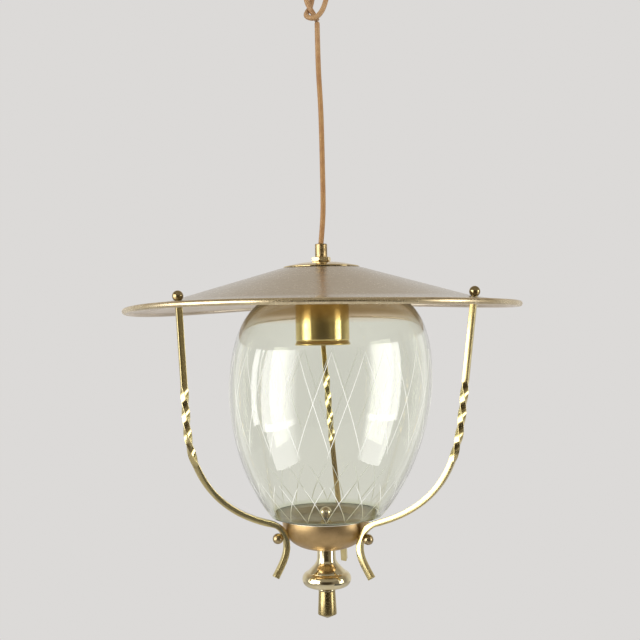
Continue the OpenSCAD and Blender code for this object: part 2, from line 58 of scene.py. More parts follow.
def put(tree, kind, inputs=None, **settings):
    """Adds a node, sets it up, and joins or fills its inputs by name or number."""
    made = tree.nodes.new(kind)
    for name, value in settings.items():
        setattr(made, name, value)
    for name, value in (inputs or {}).items():
        if isinstance(value, bpy.types.NodeSocket):
            tree.links.new(value, made.inputs[name])
        else:
            socket = made.inputs[name]
            socket.default_value = (*value, 1) if socket.type == "RGBA" else value
    return made


def mix_colours(tree, factor, a, b, blend="MIX"):
    return put(tree, "ShaderNodeMix", {0: factor, 6: a, 7: b}, data_type="RGBA", blend_type=blend).outputs[2]


def sums(tree, operation, a, b=0.0):
    return put(tree, "ShaderNodeMath", {0: a, 1: b}, operation=operation).outputs[0]


def times(tree, a, b):
    return sums(tree, "MULTIPLY", a, b)


def ramp(tree, factor, stops):
    """A colour ramp through (place, colour) stops."""
    made = put(tree, "ShaderNodeValToRGB", {0: factor})
    bar = made.color_ramp
    while len(bar.elements) < len(stops):
        bar.elements.new(0.5)
    for element, (place, colour) in zip(bar.elements, stops):
        element.position = place
        element.color = (*colour, 1)
    return made.outputs[0]


def spread(tree, value, low, high, to_low=0.0, to_high=1.0, **settings):
    ends = {0: value, 1: low, 2: high, 3: to_low, 4: to_high}
    return put(tree, "ShaderNodeMapRange", ends, **settings).outputs[0]


def object_place(tree):
    return put(tree, "ShaderNodeTexCoord").outputs["Object"]


def noise(tree, place, scale, detail, **more):
    inputs = {"Vector": place, "Scale": scale, "Detail": detail, **more}
    return put(tree, "ShaderNodeTexNoise", inputs).outputs[0]


def bare_material(name):
    material = bpy.data.materials.new(name)
    material.use_nodes = True
    material.node_tree.nodes.clear()
    return material, material.node_tree


def show(tree, shader):
    put(tree, "ShaderNodeOutputMaterial", {"Surface": shader.outputs[0]})


def use_material(piece, *materials):
    piece.data.materials.clear()
    for material in materials:
        piece.data.materials.append(material)


world = bpy.data.worlds.new("studio room")
world.use_nodes = True
world.cycles.sampling_method = "NONE"
bpy.context.scene.world = world
tree = world.node_tree
tree.nodes.clear()
light_path = put(tree, "ShaderNodeLightPath").outputs
outwards = put(tree, "ShaderNodeTexCoord").outputs["Generated"]
direction = put(tree, "ShaderNodeSeparateXYZ", {0: outwards}).outputs
room = ramp(tree, spread(tree, direction[1], -1, 1), [
    (0.0, (0.050, 0.041, 0.030)), (0.03, (0.06, 0.049, 0.036)), (0.08, (0.21, 0.185, 0.15)),
    (0.35, (0.21, 0.19, 0.16)), (0.60, (0.30, 0.29, 0.275)),
    (0.80, (0.66, 0.65, 0.63)), (1.0, (0.715, 0.700, 0.686))])
darker_above = ramp(tree, direction[2], [
    (0.0, (1, 1, 1)), (0.26, (1, 1, 1)), (0.52, (0.74, 0.66, 0.56)), (1.0, (0.6, 0.54, 0.46))])
least_above = ramp(tree, direction[2], [(0.0, (0, 0, 0)), (0.26, (0, 0, 0)), (0.42, (0.32, 0.29, 0.245))])
room = mix_colours(tree, 1.0, room, darker_above, "MULTIPLY")
room = mix_colours(tree, 1.0, room, least_above, "LIGHTEN")
room = mix_colours(tree, sums(tree, "GREATER_THAN", light_path["Glossy Depth"], 0.5), PALE, room)
room = mix_colours(tree, light_path["Is Diffuse Ray"], room, (0.56, 0.555, 0.55))
background = put(tree, "ShaderNodeBackground", {"Color": room, "Strength": 1.0})
put(tree, "ShaderNodeOutputWorld", {"Surface": background.outputs[0]})

bpy.ops.mesh.primitive_plane_add(size=FLOOR_SIZE, location=(0, 0, FLOOR_Z))
floor = bpy.context.object
floor.name = "studio_floor"
paint, tree = bare_material("pale floor paint")
light_path = put(tree, "ShaderNodeLightPath").outputs
roller = noise(tree, object_place(tree), 40, 3)
matt = put(tree, "ShaderNodeBsdfDiffuse", {
    "Color": mix_colours(tree, roller, (0.70, 0.69, 0.68), (0.76, 0.75, 0.74))})
glow = put(tree, "ShaderNodeEmission", {"Color": PALE, "Strength": 1.0})
plain_view = sums(tree, "ADD", light_path["Is Camera Ray"], light_path["Is Transmission Ray"])
show(tree, put(tree, "ShaderNodeMixShader", {
    0: times(tree, plain_view, FLOOR_GLOW), 1: matt.outputs[0], 2: glow.outputs[0]}))
use_material(floor, paint)


def around_lamp(bearing, distance, height):
    """A spot at a bearing from the camera's side, counted to the right."""
    a = math.radians(bearing)
    return Vector((math.sin(a) * distance, -math.cos(a) * distance, height))


def panel_cloth(name, on_glass, on_metal, inside_glass, fade, metal_start=0.5, inside_start=0.5, solid=False):
    """Cloth that shows in gloss only, with its own strengths on glass, on metal and inside the glass.

    Each light starts at a place across the panel, where 0.5 is the inner edge, and fades in outwards.
    """
    cloth, tree = bare_material(name)
    cloth.cycles.emission_sampling = "NONE"
    light_path = put(tree, "ShaderNodeLightPath").outputs
    across = put(tree, "ShaderNodeSeparateXYZ", {0: object_place(tree)}).outputs[0]
    glass_light, metal_light, inner_light = (
        spread(tree, across, start, start - width, 0.0, power, interpolation_type="SMOOTHSTEP")
        for start, width, power in ((0.5, fade, on_glass), (metal_start, fade * 0.6, on_metal),
                                    (inside_start, fade * 0.6, inside_glass)))
    smooth_gloss = light_path["Is Singular Ray"]
    behind_glass = sums(tree, "SUBTRACT", light_path["Transmission Depth"], smooth_gloss)
    on_surface = put(tree, "ShaderNodeMix", {0: smooth_gloss, 2: metal_light, 3: glass_light})
    strength = put(tree, "ShaderNodeMix", {
        0: sums(tree, "GREATER_THAN", behind_glass, 1.5), 2: on_surface.outputs[0], 3: inner_light})
    facing = put(tree, "ShaderNodeNewGeometry").outputs["Backfacing"]
    lit = times(tree, sums(tree, "GREATER_THAN", light_path["Glossy Depth"], 0.5),
               sums(tree, "SUBTRACT", 1.0, facing))
    if not inside_glass:
        lit = times(tree, lit, sums(tree, "LESS_THAN", light_path["Transmission Depth"], 0.5))
    glow = put(tree, "ShaderNodeEmission", {
        "Color": (1.0, 0.995, 0.985), "Strength": times(tree, lit, strength.outputs[0])})
    clear = put(tree, "ShaderNodeBsdfTransparent", {"Color": WHITE})
    if solid:
        on_metal_only = times(tree, lit, sums(tree, "SUBTRACT", 1.0, smooth_gloss))
        tree.links.new(mix_colours(tree, on_metal_only, WHITE, BLACK), clear.inputs["Color"])
    show(tree, put(tree, "ShaderNodeAddShader", {0: clear.outputs[0], 1: glow.outputs[0]}))
    return cloth


left_cloth = panel_cloth("left panel cloth", 5.6, 4.2, 5.0, 0.26, metal_start=0.08, inside_start=0.20)
right_cloth = panel_cloth("right panel cloth", 5.6, 4.2, 5.6, 0.50, metal_start=0.06, inside_start=0.12)
inner_cloth = panel_cloth("inner panel cloth", 0.0, 4.2, 0.0, 0.30)
strip_cloth = panel_cloth("strip panel cloth", 5.0, 1.2, 1.5, 0.04)
low_cloth = panel_cloth("low panel cloth", 5.0, 0.0, 0.0, 0.36)
shade_cloth = panel_cloth("low right panel cloth", 5.0, 0.13, 0.0, 0.30, solid=True)
back_cloth = panel_cloth("back panel cloth", 0.7, 0.0, 0.0, 0.90)
# Name, bearings of the inner and outer edge, heights of the foot and the top, cloth.
PANELS = [
    ("left", -35, -85.5, -0.89, 0.30, left_cloth),
    ("left_strip", -88.0, -97, -0.75, 0.40, strip_cloth),
    ("left_low", -35, -79, -1.51, -0.80, low_cloth),
    ("left_inner", -32, -60, -0.76, 0.36, inner_cloth),
    ("left_back", -104, -134, -1.3, 0.3, back_cloth),
    ("right", 35, 81.5, -0.89, 0.17, right_cloth),
    ("right_low", 37, 77, -1.59, -0.82, shade_cloth),
    ("right_back", 100, 132, -1.3, 0.3, back_cloth),
]
PANEL_DISTANCE = 1.35
for side, inner, outer, low, high, cloth in PANELS:
    spot = around_lamp((inner + outer) / 2, PANEL_DISTANCE, (low + high) / 2)
    flip = Quaternion((0, 0, 1), math.pi if inner < 0 else 0)
    turn = Vector((-spot.x, -spot.y, 0)).to_track_quat("Z", "Y") @ flip
    bpy.ops.mesh.primitive_plane_add(size=1, location=spot, rotation=turn.to_euler())
    panel = bpy.context.object
    panel.name = "soft_panel_" + side
    panel.scale = (2 * PANEL_DISTANCE * math.tan(math.radians(abs(outer - inner) / 2)), high - low, 1)
    panel.visible_camera = panel.visible_diffuse = panel.visible_shadow = False
    use_material(panel, cloth)

# Name, bearing, distance, height, width in metres and power in watts.
AREA_LAMPS = [("left", -70, 1.6, -0.30, 1.1, 11.0), ("right", 68, 1.6, -0.30, 0.9, 7.0),
              ("front", 12, 1.7, 0.75, 0.9, 9.0)]
LAMP_MIDDLE = Vector((0, 0, -0.33))
for side, bearing, distance, height, width, power in AREA_LAMPS:
    spot = around_lamp(bearing, distance, height)
    turn = (spot - LAMP_MIDDLE).to_track_quat("Z", "Y").to_euler()
    bpy.ops.object.light_add(type="AREA", location=spot, rotation=turn)
    lamp = bpy.context.object
    lamp.name = "area_" + side
    lamp.data.energy = power
    lamp.data.size = width
    lamp.data.color = (1.0, 0.99, 0.97)
    lamp.visible_camera = lamp.visible_glossy = lamp.visible_transmission = False

# Cord: a round, smooth golden cord, 4.5 mm thick, that hangs the lamp and carries its current.
# Its top is a loop caught in a half hitch, and its foot goes down into the cord grip.
CORD_D = 4.5
GRIP_TOP, NUT_TOP, CROWN_TOP = -234.0, -245.5, -249.3
cord_route = [(0, 0, -43), (0.1, 0, -60), (0.5, 0, -85), (1.9, 0, -120), (2.4, 0, -165), (2.3, 0, -205),
              (0, 0, GRIP_TOP)]
knot_route = [
    (0, 0, -40.4), (-1.2, 0, -37.8), (-3.2, 0, -34.4), (-6, 0, -29.5), (-8.8, 0, -23), (-9.6, 0, -14),
    (-7.4, 0, -4.5), (-3, 0, 1.2), (1.5, 0, 1.9), (6, 0, -2.5), (8.6, -0.6, -10), (8.8, -2, -18),
    (7.2, -3.6, -26), (4.4, -4.7, -33), (0.6, -5, -37.6), (-3.4, -5, -39.4), (-7.2, -3.4, -38.4),
    (-9.4, 0, -35.6), (-8.6, 3.6, -32), (-6, 5, -27.5), (-4.4, 5, -22), (-3.6, 4.8, -17),
]


def smooth_line(points, steps):
    """A Catmull-Rom line through given points in mm."""
    points = [Vector(p) for p in points]
    line = []
    for i in range(len(points) - 1):
        a, b, c, d = points[max(i - 1, 0)], points[i], points[i + 1], points[min(i + 2, len(points) - 1)]
        for j in range(steps):
            t = j / steps
            line.append(0.5 * (2 * b + (c - a) * t + (2 * a - 5 * b + 4 * c - d) * t * t
                               + (3 * b - a - 3 * c + d) * t ** 3))
    return line + [points[-1]]


def dome(end, inner):
    """Shrinking rings past a cord's end, from the end outwards."""
    away = (end - inner).normalized()
    return [(end + away * CORD_D / 2 * math.sin(a), math.cos(a)) for a in (0.45, 0.9, 1.3)]


def cord_along(name, line, round_ends):
    """A round cord on one open spline, with domed or flat ends."""
    stops = [(p, 1.0) for p in line]
    if round_ends:
        stops = dome(line[0], line[1])[::-1] + stops + dome(line[-1], line[-2])
    curve = bpy.data.curves.new(name, "CURVE")
    curve.dimensions = "3D"
    curve.bevel_depth = CORD_D / 2 * MM
    curve.bevel_resolution = 6
    curve.use_fill_caps = True
    spline = curve.splines.new("POLY")
    spline.points.add(len(stops) - 1)
    for point, (place, radius) in zip(spline.points, stops):
        point.co = (*(place * MM), 1)
        point.radius = radius
    spline.use_smooth = True
    piece = bpy.data.objects.new(name, curve)
    bpy.context.scene.collection.objects.link(piece)
    return piece


def new_group(name, inputs, output):
    """An empty node group: the group, its inputs as sockets to read, and its one output to fill."""
    group = bpy.data.node_groups.new(name, "ShaderNodeTree")
    for label, value in inputs:
        socket = group.interface.new_socket(name=label, in_out="INPUT", socket_type="NodeSocketFloat")
        socket.default_value = value
    group.interface.new_socket(name=output, in_out="OUTPUT", socket_type="NodeSocketFloat")
    return group, put(group, "NodeGroupInput").outputs, put(group, "NodeGroupOutput").inputs[output]


def place_group(tree, group, **values):
    """Puts a group in a material with its own values, and gives its output."""
    made = put(tree, "ShaderNodeGroup", node_tree=group)
    for name, value in values.items():
        made.inputs[name].default_value = value
    return made.outputs[0]


def principled(tree, inputs):
    show(tree, put(tree, "ShaderNodeBsdfPrincipled", inputs))


def raised(tree, height, strength, depth):
    """The normal of a surface raised by a height, up to a depth in mm."""
    inputs = {"Strength": strength, "Distance": depth * MM, "Height": height}
    return put(tree, "ShaderNodeBump", inputs).outputs[0]


def height_of(tree):
    return put(tree, "ShaderNodeSeparateXYZ", {0: object_place(tree)}).outputs[2]


patches, given, mask = new_group("worn patches", [("Scale", 60.0), ("Cover", 0.5)], "Mask")
place = object_place(patches)
broad = noise(patches, place, given["Scale"], 5, Roughness=0.62)
fine = noise(patches, place, times(patches, given["Scale"], 5.3), 3)
level = sums(patches, "ADD", times(patches, broad, 0.75), times(patches, fine, 0.25))
edge = sums(patches, "SUBTRACT", 0.75, times(patches, given["Cover"], 0.5))
low, high = (sums(patches, kind, edge, 0.12) for kind in ("SUBTRACT", "ADD"))
patches.links.new(spread(patches, level, low, high), mask)

cord_sheath, tree = bare_material("golden cord sheath")
place = object_place(tree)
along = put(tree, "ShaderNodeMapping", {"Vector": place, "Scale": (1, 1, 0.12)}).outputs[0]
streaks = noise(tree, along, 1900, 3)
tone = ramp(tree, streaks, [(0.30, (0.41, 0.235, 0.105)), (0.52, (0.50, 0.305, 0.145)),
                            (0.74, (0.57, 0.375, 0.20))])
tone = mix_colours(tree, place_group(tree, patches, Scale=95, Cover=0.42), tone, (0.40, 0.215, 0.10))
deeper_below_knot = spread(tree, height_of(tree), -0.05, -0.10)
tone = mix_colours(tree, deeper_below_knot, tone, (0.92, 0.84, 0.68), "MULTIPLY")
principled(tree, {
    "Base Color": tone, "Roughness": spread(tree, streaks, 0.3, 0.7, 0.36, 0.5),
    "Specular IOR Level": 0.35, "Sheen Weight": 0.12, "Sheen Roughness": 0.4,
    "Normal": raised(tree, noise(tree, place, 2600, 2), 0.35, 0.08)})

cord = cord_along("hanging_cord", smooth_line(cord_route, 8), True)
knot = cord_along("loop_and_half_hitch", smooth_line(knot_route, 6), False)
cord_end = cord_along("cord_end_in_grip", [Vector((0, 0, z)) for z in (-236.85, -245, -255, -271.1)], False)
for piece, nodes, body in ((cord, "cord", "cord_run"), (knot, "cord_knot", "hanging_knot"),
                           (cord_end, "cord_tail", "grip_core")):
    use_material(piece, cord_sheath)
    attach(piece, body)
    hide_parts(nodes)

# Cord grip: a short turned brass tube with an eased top edge, which clamps the cord in a split bush.
# Its threaded spigot runs down through the nut, the crown disc, the hat and the lampholder's cap.
GRIP_R, CORD_BORE, SPIGOT_R, SPIGOT_BORE, SPIGOT_END, SPIGOT_HOLE = 5.25, 3.98, 4.9, 2.85, -269.1, 5.1
BUSH_SEAT, DOUBLES = -243.1, 0.004 * MM


def axis_distance(tree):
    flat = put(tree, "ShaderNodeVectorMath", {0: object_place(tree), 1: (1, 1, 0)}, operation="MULTIPLY")
    return put(tree, "ShaderNodeVectorMath", {0: flat.outputs[0]}, operation="LENGTH").outputs["Value"]


rings, given, height = new_group("lathe rings", [("Density", 4000.0)], "Height")
across = put(rings, "ShaderNodeCombineXYZ", {
    0: times(rings, axis_distance(rings), given["Density"]),
    2: times(rings, height_of(rings), given["Density"])}).outputs[0]
rings.links.new(noise(rings, across, 1, 3, Roughness=0.6), height)

specks, given, mask = new_group("dark specks", [("Scale", 500.0), ("Size", 0.2)], "Mask")
place = object_place(specks)
cells = put(specks, "ShaderNodeTexVoronoi", {"Vector": place, "Scale": given["Scale"]}).outputs["Distance"]
dots = spread(specks, cells, given["Size"], times(specks, given["Size"], 0.4))
sparse = spread(specks, noise(specks, place, 70, 2), 0.5, 0.6)
specks.links.new(times(specks, dots, sparse), mask)


def metal_finish(name, colour, dull_colour, roughness, dull_roughness, cover, patch_scale=90,
                 speck_size=0.0, ring_density=4200, ring_strength=0.25):
    """Bare metal with lathe rings, patches that have dulled and small dark specks."""
    material, tree = bare_material(name)
    dulled = place_group(tree, patches, Scale=patch_scale, Cover=cover)
    ring = place_group(tree, rings, Density=ring_density)
    tone = mix_colours(tree, dulled, colour, dull_colour)
    rough = spread(tree, dulled, 0, 1, roughness, dull_roughness)
    rough = sums(tree, "ADD", rough, spread(tree, ring, 0.3, 0.7, -0.03, 0.03))
    if speck_size:
        dots = place_group(tree, specks, Size=speck_size)
        tone = mix_colours(tree, times(tree, dots, 0.75), tone, (0.07, 0.05, 0.025))
        rough = sums(tree, "ADD", rough, times(tree, dots, 0.3))
    principled(tree, {"Base Color": tone, "Metallic": 1.0, "Roughness": rough,
                      "Normal": raised(tree, ring, ring_strength, 0.02)})
    return material


def eased(corners, steps=4):
    """Eases the corners of a closed outline; each is (radius, height) or (radius, height, easing), in mm."""
    line = []
    for i, corner in enumerate(corners):
        here = Vector(corner[:2])
        easing = corner[2] if len(corner) > 2 else 0
        if not easing:
            line.append(here)
            continue
        before = Vector(corners[i - 1][:2]) - here
        after = Vector(corners[(i + 1) % len(corners)][:2]) - here
        a = here + before.normalized() * min(easing, before.length * 0.48)
        b = here + after.normalized() * min(easing, after.length * 0.48)
        line += [a.lerp(here, t).lerp(here.lerp(b, t), t) for t in (k / steps for k in range(steps + 1))]
    return line


def arc(centre_r, centre_z, radius_r, radius_z, start, stop, steps):
    """Points on an arc of an outline, angles in degrees from the outward direction."""
    angles = [math.radians(start + (stop - start) * k / steps) for k in range(steps + 1)]
    return [(centre_r + radius_r * math.cos(a), centre_z + radius_z * math.sin(a)) for a in angles]


def leave_edit_mode():
    """Turns the selected faces outwards and goes back to object mode."""
    bpy.ops.mesh.normals_make_consistent(inside=False)
    bpy.ops.object.mode_set(mode="OBJECT")


def turned(name, outline, steps=96, smooth=40):
    """Draws a closed outline of radius and height in mm, and spins it round an upright axis."""
    bpy.ops.object.select_all(action="DESELECT")
    bpy.ops.mesh.primitive_plane_add(size=MM, location=(0, 0, 0))
    piece = bpy.context.object
    piece.name = piece.data.name = name
    bpy.ops.object.mode_set(mode="EDIT")
    bpy.ops.mesh.select_mode(type="VERT")
    bpy.ops.mesh.select_all(action="SELECT")
    bpy.ops.mesh.merge(type="CENTER")
    first = outline[0]
    bpy.ops.transform.translate(value=(first[0] * MM, 0, first[1] * MM))
    for here, there in zip(outline, list(outline[1:]) + [first]):
        step = ((there[0] - here[0]) * MM, 0, (there[1] - here[1]) * MM)
        bpy.ops.mesh.extrude_region_move(TRANSFORM_OT_translate={"value": step})
    bpy.ops.mesh.select_all(action="SELECT")
    bpy.ops.mesh.remove_doubles(threshold=DOUBLES)
    bpy.ops.mesh.spin(steps=steps, angle=2 * math.pi, center=(0, 0, 0), axis=(0, 0, 1))
    bpy.ops.mesh.select_all(action="SELECT")
    bpy.ops.mesh.remove_doubles(threshold=DOUBLES)
    leave_edit_mode()
    bpy.ops.object.shade_smooth_by_angle(angle=math.radians(smooth))
    return piece


def hand_in(piece, body, slot, *nodes):
    """Lets a piece ride on its body in place of its CAD nodes."""
    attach(piece, body)
    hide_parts(*nodes)


aged_brass = metal_finish(
    "aged brass of the grip", (0.56, 0.42, 0.21), (0.34, 0.25, 0.12), 0.34, 0.46, 0.5, patch_scale=240,
    speck_size=0.2, ring_density=5200)
grip = turned("cord_grip_tube", eased([
    (SPIGOT_BORE, SPIGOT_END), (SPIGOT_R, SPIGOT_END, 0.4), (SPIGOT_R, NUT_TOP - 0.3),
    (GRIP_R, NUT_TOP + 0.05, 0.2), (GRIP_R, GRIP_TOP - 0.55, 0.25), (GRIP_R - 0.5, GRIP_TOP, 0.25),
    (CORD_BORE, GRIP_TOP, 0.1), (CORD_BORE, BUSH_SEAT), (SPIGOT_BORE, BUSH_SEAT)]))
use_material(grip, aged_brass)
hand_in(grip, "lamp", "polished_brass", "cord_grip")

bush_stuff, tree = bare_material("fibre of the clamping bush")
fibre = noise(tree, object_place(tree), 1500, 4)
principled(tree, {
    "Base Color": ramp(tree, fibre, [(0.3, (0.10, 0.055, 0.03)), (0.7, (0.19, 0.11, 0.06))]),
    "Roughness": 0.6, "Normal": raised(tree, fibre, 0.3, 0.1)})
use_material(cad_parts["grip_bush"], bush_stuff)

# Lamp nut: a thin hexagon nut in bright brass, 15 mm over the flats, that draws the whole stack together.
# It is cut from hexagon bar and faced on the lathe, so its six corners are chamfered top and bottom.
# Its eased edges turn 15 degrees or more a step, so a smaller angle of smoothing leaves its sides flat.
NUT_FLATS, NUT_CORNER_R, NUT_FACE_R, NUT_BORE, NUT_CHAMFER, NUT_TURN = 15, 9.4, 7.2, 4.95, 1.15, 47
NUT_SMOOTHING = 12
bright_brass = metal_finish(
    "bright brass", (0.95, 0.78, 0.42), (0.80, 0.63, 0.32), 0.16, 0.28, 0.35, patch_scale=160,
    ring_density=3600)
nut = turned("top_lamp_nut", eased([
    (NUT_BORE, NUT_TOP), (NUT_FACE_R, NUT_TOP, 0.15), (NUT_CORNER_R, NUT_TOP - NUT_CHAMFER),
    (NUT_CORNER_R, CROWN_TOP + NUT_CHAMFER), (NUT_FACE_R, CROWN_TOP, 0.15), (NUT_BORE, CROWN_TOP),
]), steps=72, smooth=25)


def select_only(*pieces):
    bpy.ops.object.select_all(action="DESELECT")
    for piece in pieces:
        piece.select_set(True)
    bpy.context.view_layer.objects.active = pieces[0]


bpy.ops.object.select_all(action="DESELECT")
bpy.ops.mesh.primitive_cylinder_add(
    vertices=6, radius=NUT_FLATS / 2 / math.cos(math.pi / 6) * MM, depth=8 * MM,
    location=(0, 0, (NUT_TOP + CROWN_TOP) / 2 * MM), rotation=(0, 0, math.radians(NUT_TURN)))
hexagon = bpy.context.object
bpy.ops.object.mode_set(mode="EDIT")
bpy.ops.mesh.select_all(action="SELECT")
bpy.ops.mesh.bevel(offset=0.16 * MM, segments=2)
bpy.ops.object.mode_set(mode="OBJECT")
select_only(nut)
cut = nut.modifiers.new("six flats", "BOOLEAN")
cut.operation = "INTERSECT"
cut.object = hexagon
bpy.ops.object.modifier_apply(modifier=cut.name)
bpy.data.objects.remove(hexagon)
bpy.ops.object.shade_smooth_by_angle(angle=math.radians(NUT_SMOOTHING))
use_material(nut, bright_brass)
hand_in(nut, "lamp", "polished_brass", "top_nut")

# Crown disc: a shallow dome spun from thin brass and polished bright, 66 mm across.
# It covers the flat middle of the hat, and its thin edge stands just off the lacquer.
CROWN_RISE, CROWN_R, SHEET = 4.3, 33.0, 0.9
dome_r = (CROWN_R ** 2 + CROWN_RISE ** 2) / (2 * CROWN_RISE)
edge_angle = math.degrees(math.asin(CROWN_R / dome_r))
hole_angle = math.degrees(math.asin(SPIGOT_HOLE / dome_r))
top = arc(0, CROWN_TOP - dome_r, dome_r, dome_r, 90 - hole_angle, 90 - edge_angle, 40)
under = arc(0, CROWN_TOP - SHEET - dome_r, dome_r, dome_r, 90 - edge_angle, 90 - hole_angle, 24)
edge_z = top[-1][1]
rim = [(CROWN_R - 0.22, edge_z + 0.03), (CROWN_R, edge_z - SHEET * 0.3), (CROWN_R, edge_z - SHEET * 0.75)]
crown = turned("crown_disc_dome", top[:-1] + rim + under[1:], steps=128)
polished_brass = metal_finish(
    "polished brass", (0.80, 0.63, 0.32), (0.66, 0.50, 0.24), 0.12, 0.22, 0.4, patch_scale=70,
    speck_size=0.12, ring_density=2600, ring_strength=0.18)
use_material(crown, polished_brass)
hand_in(crown, "lamp", "polished_brass", "crown_disc")

# Hat: one flat cone spun from 0.9 mm brass sheet, 340 mm across, with a flatter brim and a rolled bead.
# Its satin finish lies under a warm grey-gold lacquer, rubbed off on the bead; its underside is plainer.
HAT_TOP_Z, HAT_TOP_R, CONE_MIDDLE_R, BREAK_R, BREAK_Z = -254.6, 34.0, 82, 131.0, -282.1
BEAD_R, BEAD_SIZE, BRIM_SLOPE = 167.6, 2.4, 6.5
WARP_START, WARP_RUN, RIM_WIDER = 132, 36, 0.0045


def hat_height(r):
    """Height of the hat's upper face at a radius, in mm."""
    if r < BREAK_R:
        return HAT_TOP_Z + (BREAK_Z - HAT_TOP_Z) * (r - HAT_TOP_R) / (BREAK_R - HAT_TOP_R)
    return BREAK_Z - (r - BREAK_R) * math.tan(math.radians(BRIM_SLOPE))


def rim_warp(x, y):
    """How far the rim is bent up out of its plane, in mm: two waves and a slight tilt."""
    a = math.atan2(y, x)
    return (0.96 * math.cos(3 * a - math.radians(276)) - 2.37 * math.cos(2 * a) + 1.09 * math.sin(2 * a)
            + 0.0053 * x - 1.2)


bead_z = hat_height(BEAD_R) - SHEET / 2
hat = turned("spun_hat", eased(
    [(SPIGOT_HOLE, HAT_TOP_Z), (HAT_TOP_R, HAT_TOP_Z, 5), (CONE_MIDDLE_R, hat_height(CONE_MIDDLE_R)),
     (BREAK_R, BREAK_Z, 7)]
    + arc(BEAD_R, bead_z, BEAD_SIZE, BEAD_SIZE, 160, -176, 30)
    + [(BREAK_R, BREAK_Z - SHEET, 7), (CONE_MIDDLE_R, hat_height(CONE_MIDDLE_R) - SHEET),
       (HAT_TOP_R, HAT_TOP_Z - SHEET, 5), (SPIGOT_HOLE, HAT_TOP_Z - SHEET)], steps=6), steps=192, smooth=50)
for vertex in hat.data.vertices:
    x, y, z = (value / MM for value in vertex.co)
    t = min(max((math.hypot(x, y) - WARP_START) / WARP_RUN, 0), 1)
    ease = t * t * (3 - 2 * t)
    wider = 1 + RIM_WIDER * ease
    vertex.co = Vector((x * wider, y * wider, z + rim_warp(x, y) * ease)) * MM

scratches, given, mask = new_group("handling scratches", [("Scale", 30.0), ("Cover", 0.3)], "Mask")
place = object_place(scratches)
lines = []
for turn, stretch in ((0.4, (14, 0.5, 1)), (1.5, (11, 0.6, 1)), (2.5, (16, 0.45, 1))):
    laid = put(scratches, "ShaderNodeMapping", {"Vector": place, "Rotation": (0, 0, turn), "Scale": stretch})
    lines.append(spread(scratches, noise(scratches, laid.outputs[0], given["Scale"], 2), 0.70, 0.74))
all_lines = sums(scratches, "MAXIMUM", sums(scratches, "MAXIMUM", lines[0], lines[1]), lines[2])
low = sums(scratches, "SUBTRACT", 0.8, times(scratches, given["Cover"], 0.5))
near = spread(scratches, noise(scratches, place, 24, 1), low, sums(scratches, "ADD", low, 0.08))
scratches.links.new(times(scratches, all_lines, near), mask)

hat_lacquer, tree = bare_material("grey-gold lacquer over spun brass")
worn = place_group(tree, patches, Scale=16, Cover=0.45)
soft = place_group(tree, patches, Scale=55, Cover=0.5)
ring = place_group(tree, rings, Density=900)
marks = place_group(tree, scratches, Scale=38.0, Cover=0.35)
dots = place_group(tree, specks, Scale=260.0, Size=0.08)
tone = mix_colours(tree, worn, (0.620, 0.565, 0.465), (0.595, 0.530, 0.425))
tone = mix_colours(tree, times(tree, soft, 0.12), tone, (0.57, 0.515, 0.415))
tone = mix_colours(tree, times(tree, marks, 0.5), tone, (0.72, 0.68, 0.58))
tone = mix_colours(tree, times(tree, dots, 0.6), tone, (0.20, 0.16, 0.10))
rough = sums(tree, "ADD", spread(tree, soft, 0, 1, 0.268, 0.284), spread(tree, ring, 0.3, 0.7, -0.012, 0.012))
principled(tree, {"Base Color": tone, "Metallic": 1.0, "Roughness": rough, "Coat Weight": 0.35,
                  "Coat Roughness": 0.18, "Normal": raised(tree, ring, 0.05, 0.04)})

hat_under, tree = bare_material("plain underside of the hat")
cloud = place_group(tree, patches, Scale=28, Cover=0.5)
dots = place_group(tree, specks, Scale=400.0, Size=0.1)
ring = place_group(tree, rings, Density=1100)
# Darker brown towards the middle, above the glass: painted shade.
tone = ramp(tree, spread(tree, axis_distance(tree), 0.118, 0.142),
            [(0.0, (0.48, 0.35, 0.16)), (1.0, (0.82, 0.72, 0.60))])
tone = mix_colours(tree, times(tree, cloud, 0.35), tone, (0.62, 0.51, 0.37))
tone = mix_colours(tree, times(tree, dots, 0.6), tone, (0.12, 0.09, 0.05))
principled(tree, {"Base Color": tone, "Metallic": 1.0, "Roughness": spread(tree, cloud, 0, 1, 0.30, 0.38),
                  "Normal": raised(tree, ring, 0.15, 0.02)})
bead_brass = metal_finish(
    "rubbed brass of the bead", (0.80, 0.67, 0.44), (0.60, 0.47, 0.27), 0.26, 0.34, 0.38, patch_scale=48,
    speck_size=0.14, ring_density=900, ring_strength=0.1)
use_material(hat, hat_lacquer, hat_under, bead_brass)
for face in hat.data.polygons:
    r = math.hypot(face.center.x, face.center.y) / MM
    if r > BEAD_R - BEAD_SIZE - 0.1 and (r > BEAD_R or face.normal.z > 0):
        face.material_index = 2
    elif face.normal.z < 0:
        face.material_index = 1
hand_in(hat, "lamp", "lacquer", "hat")

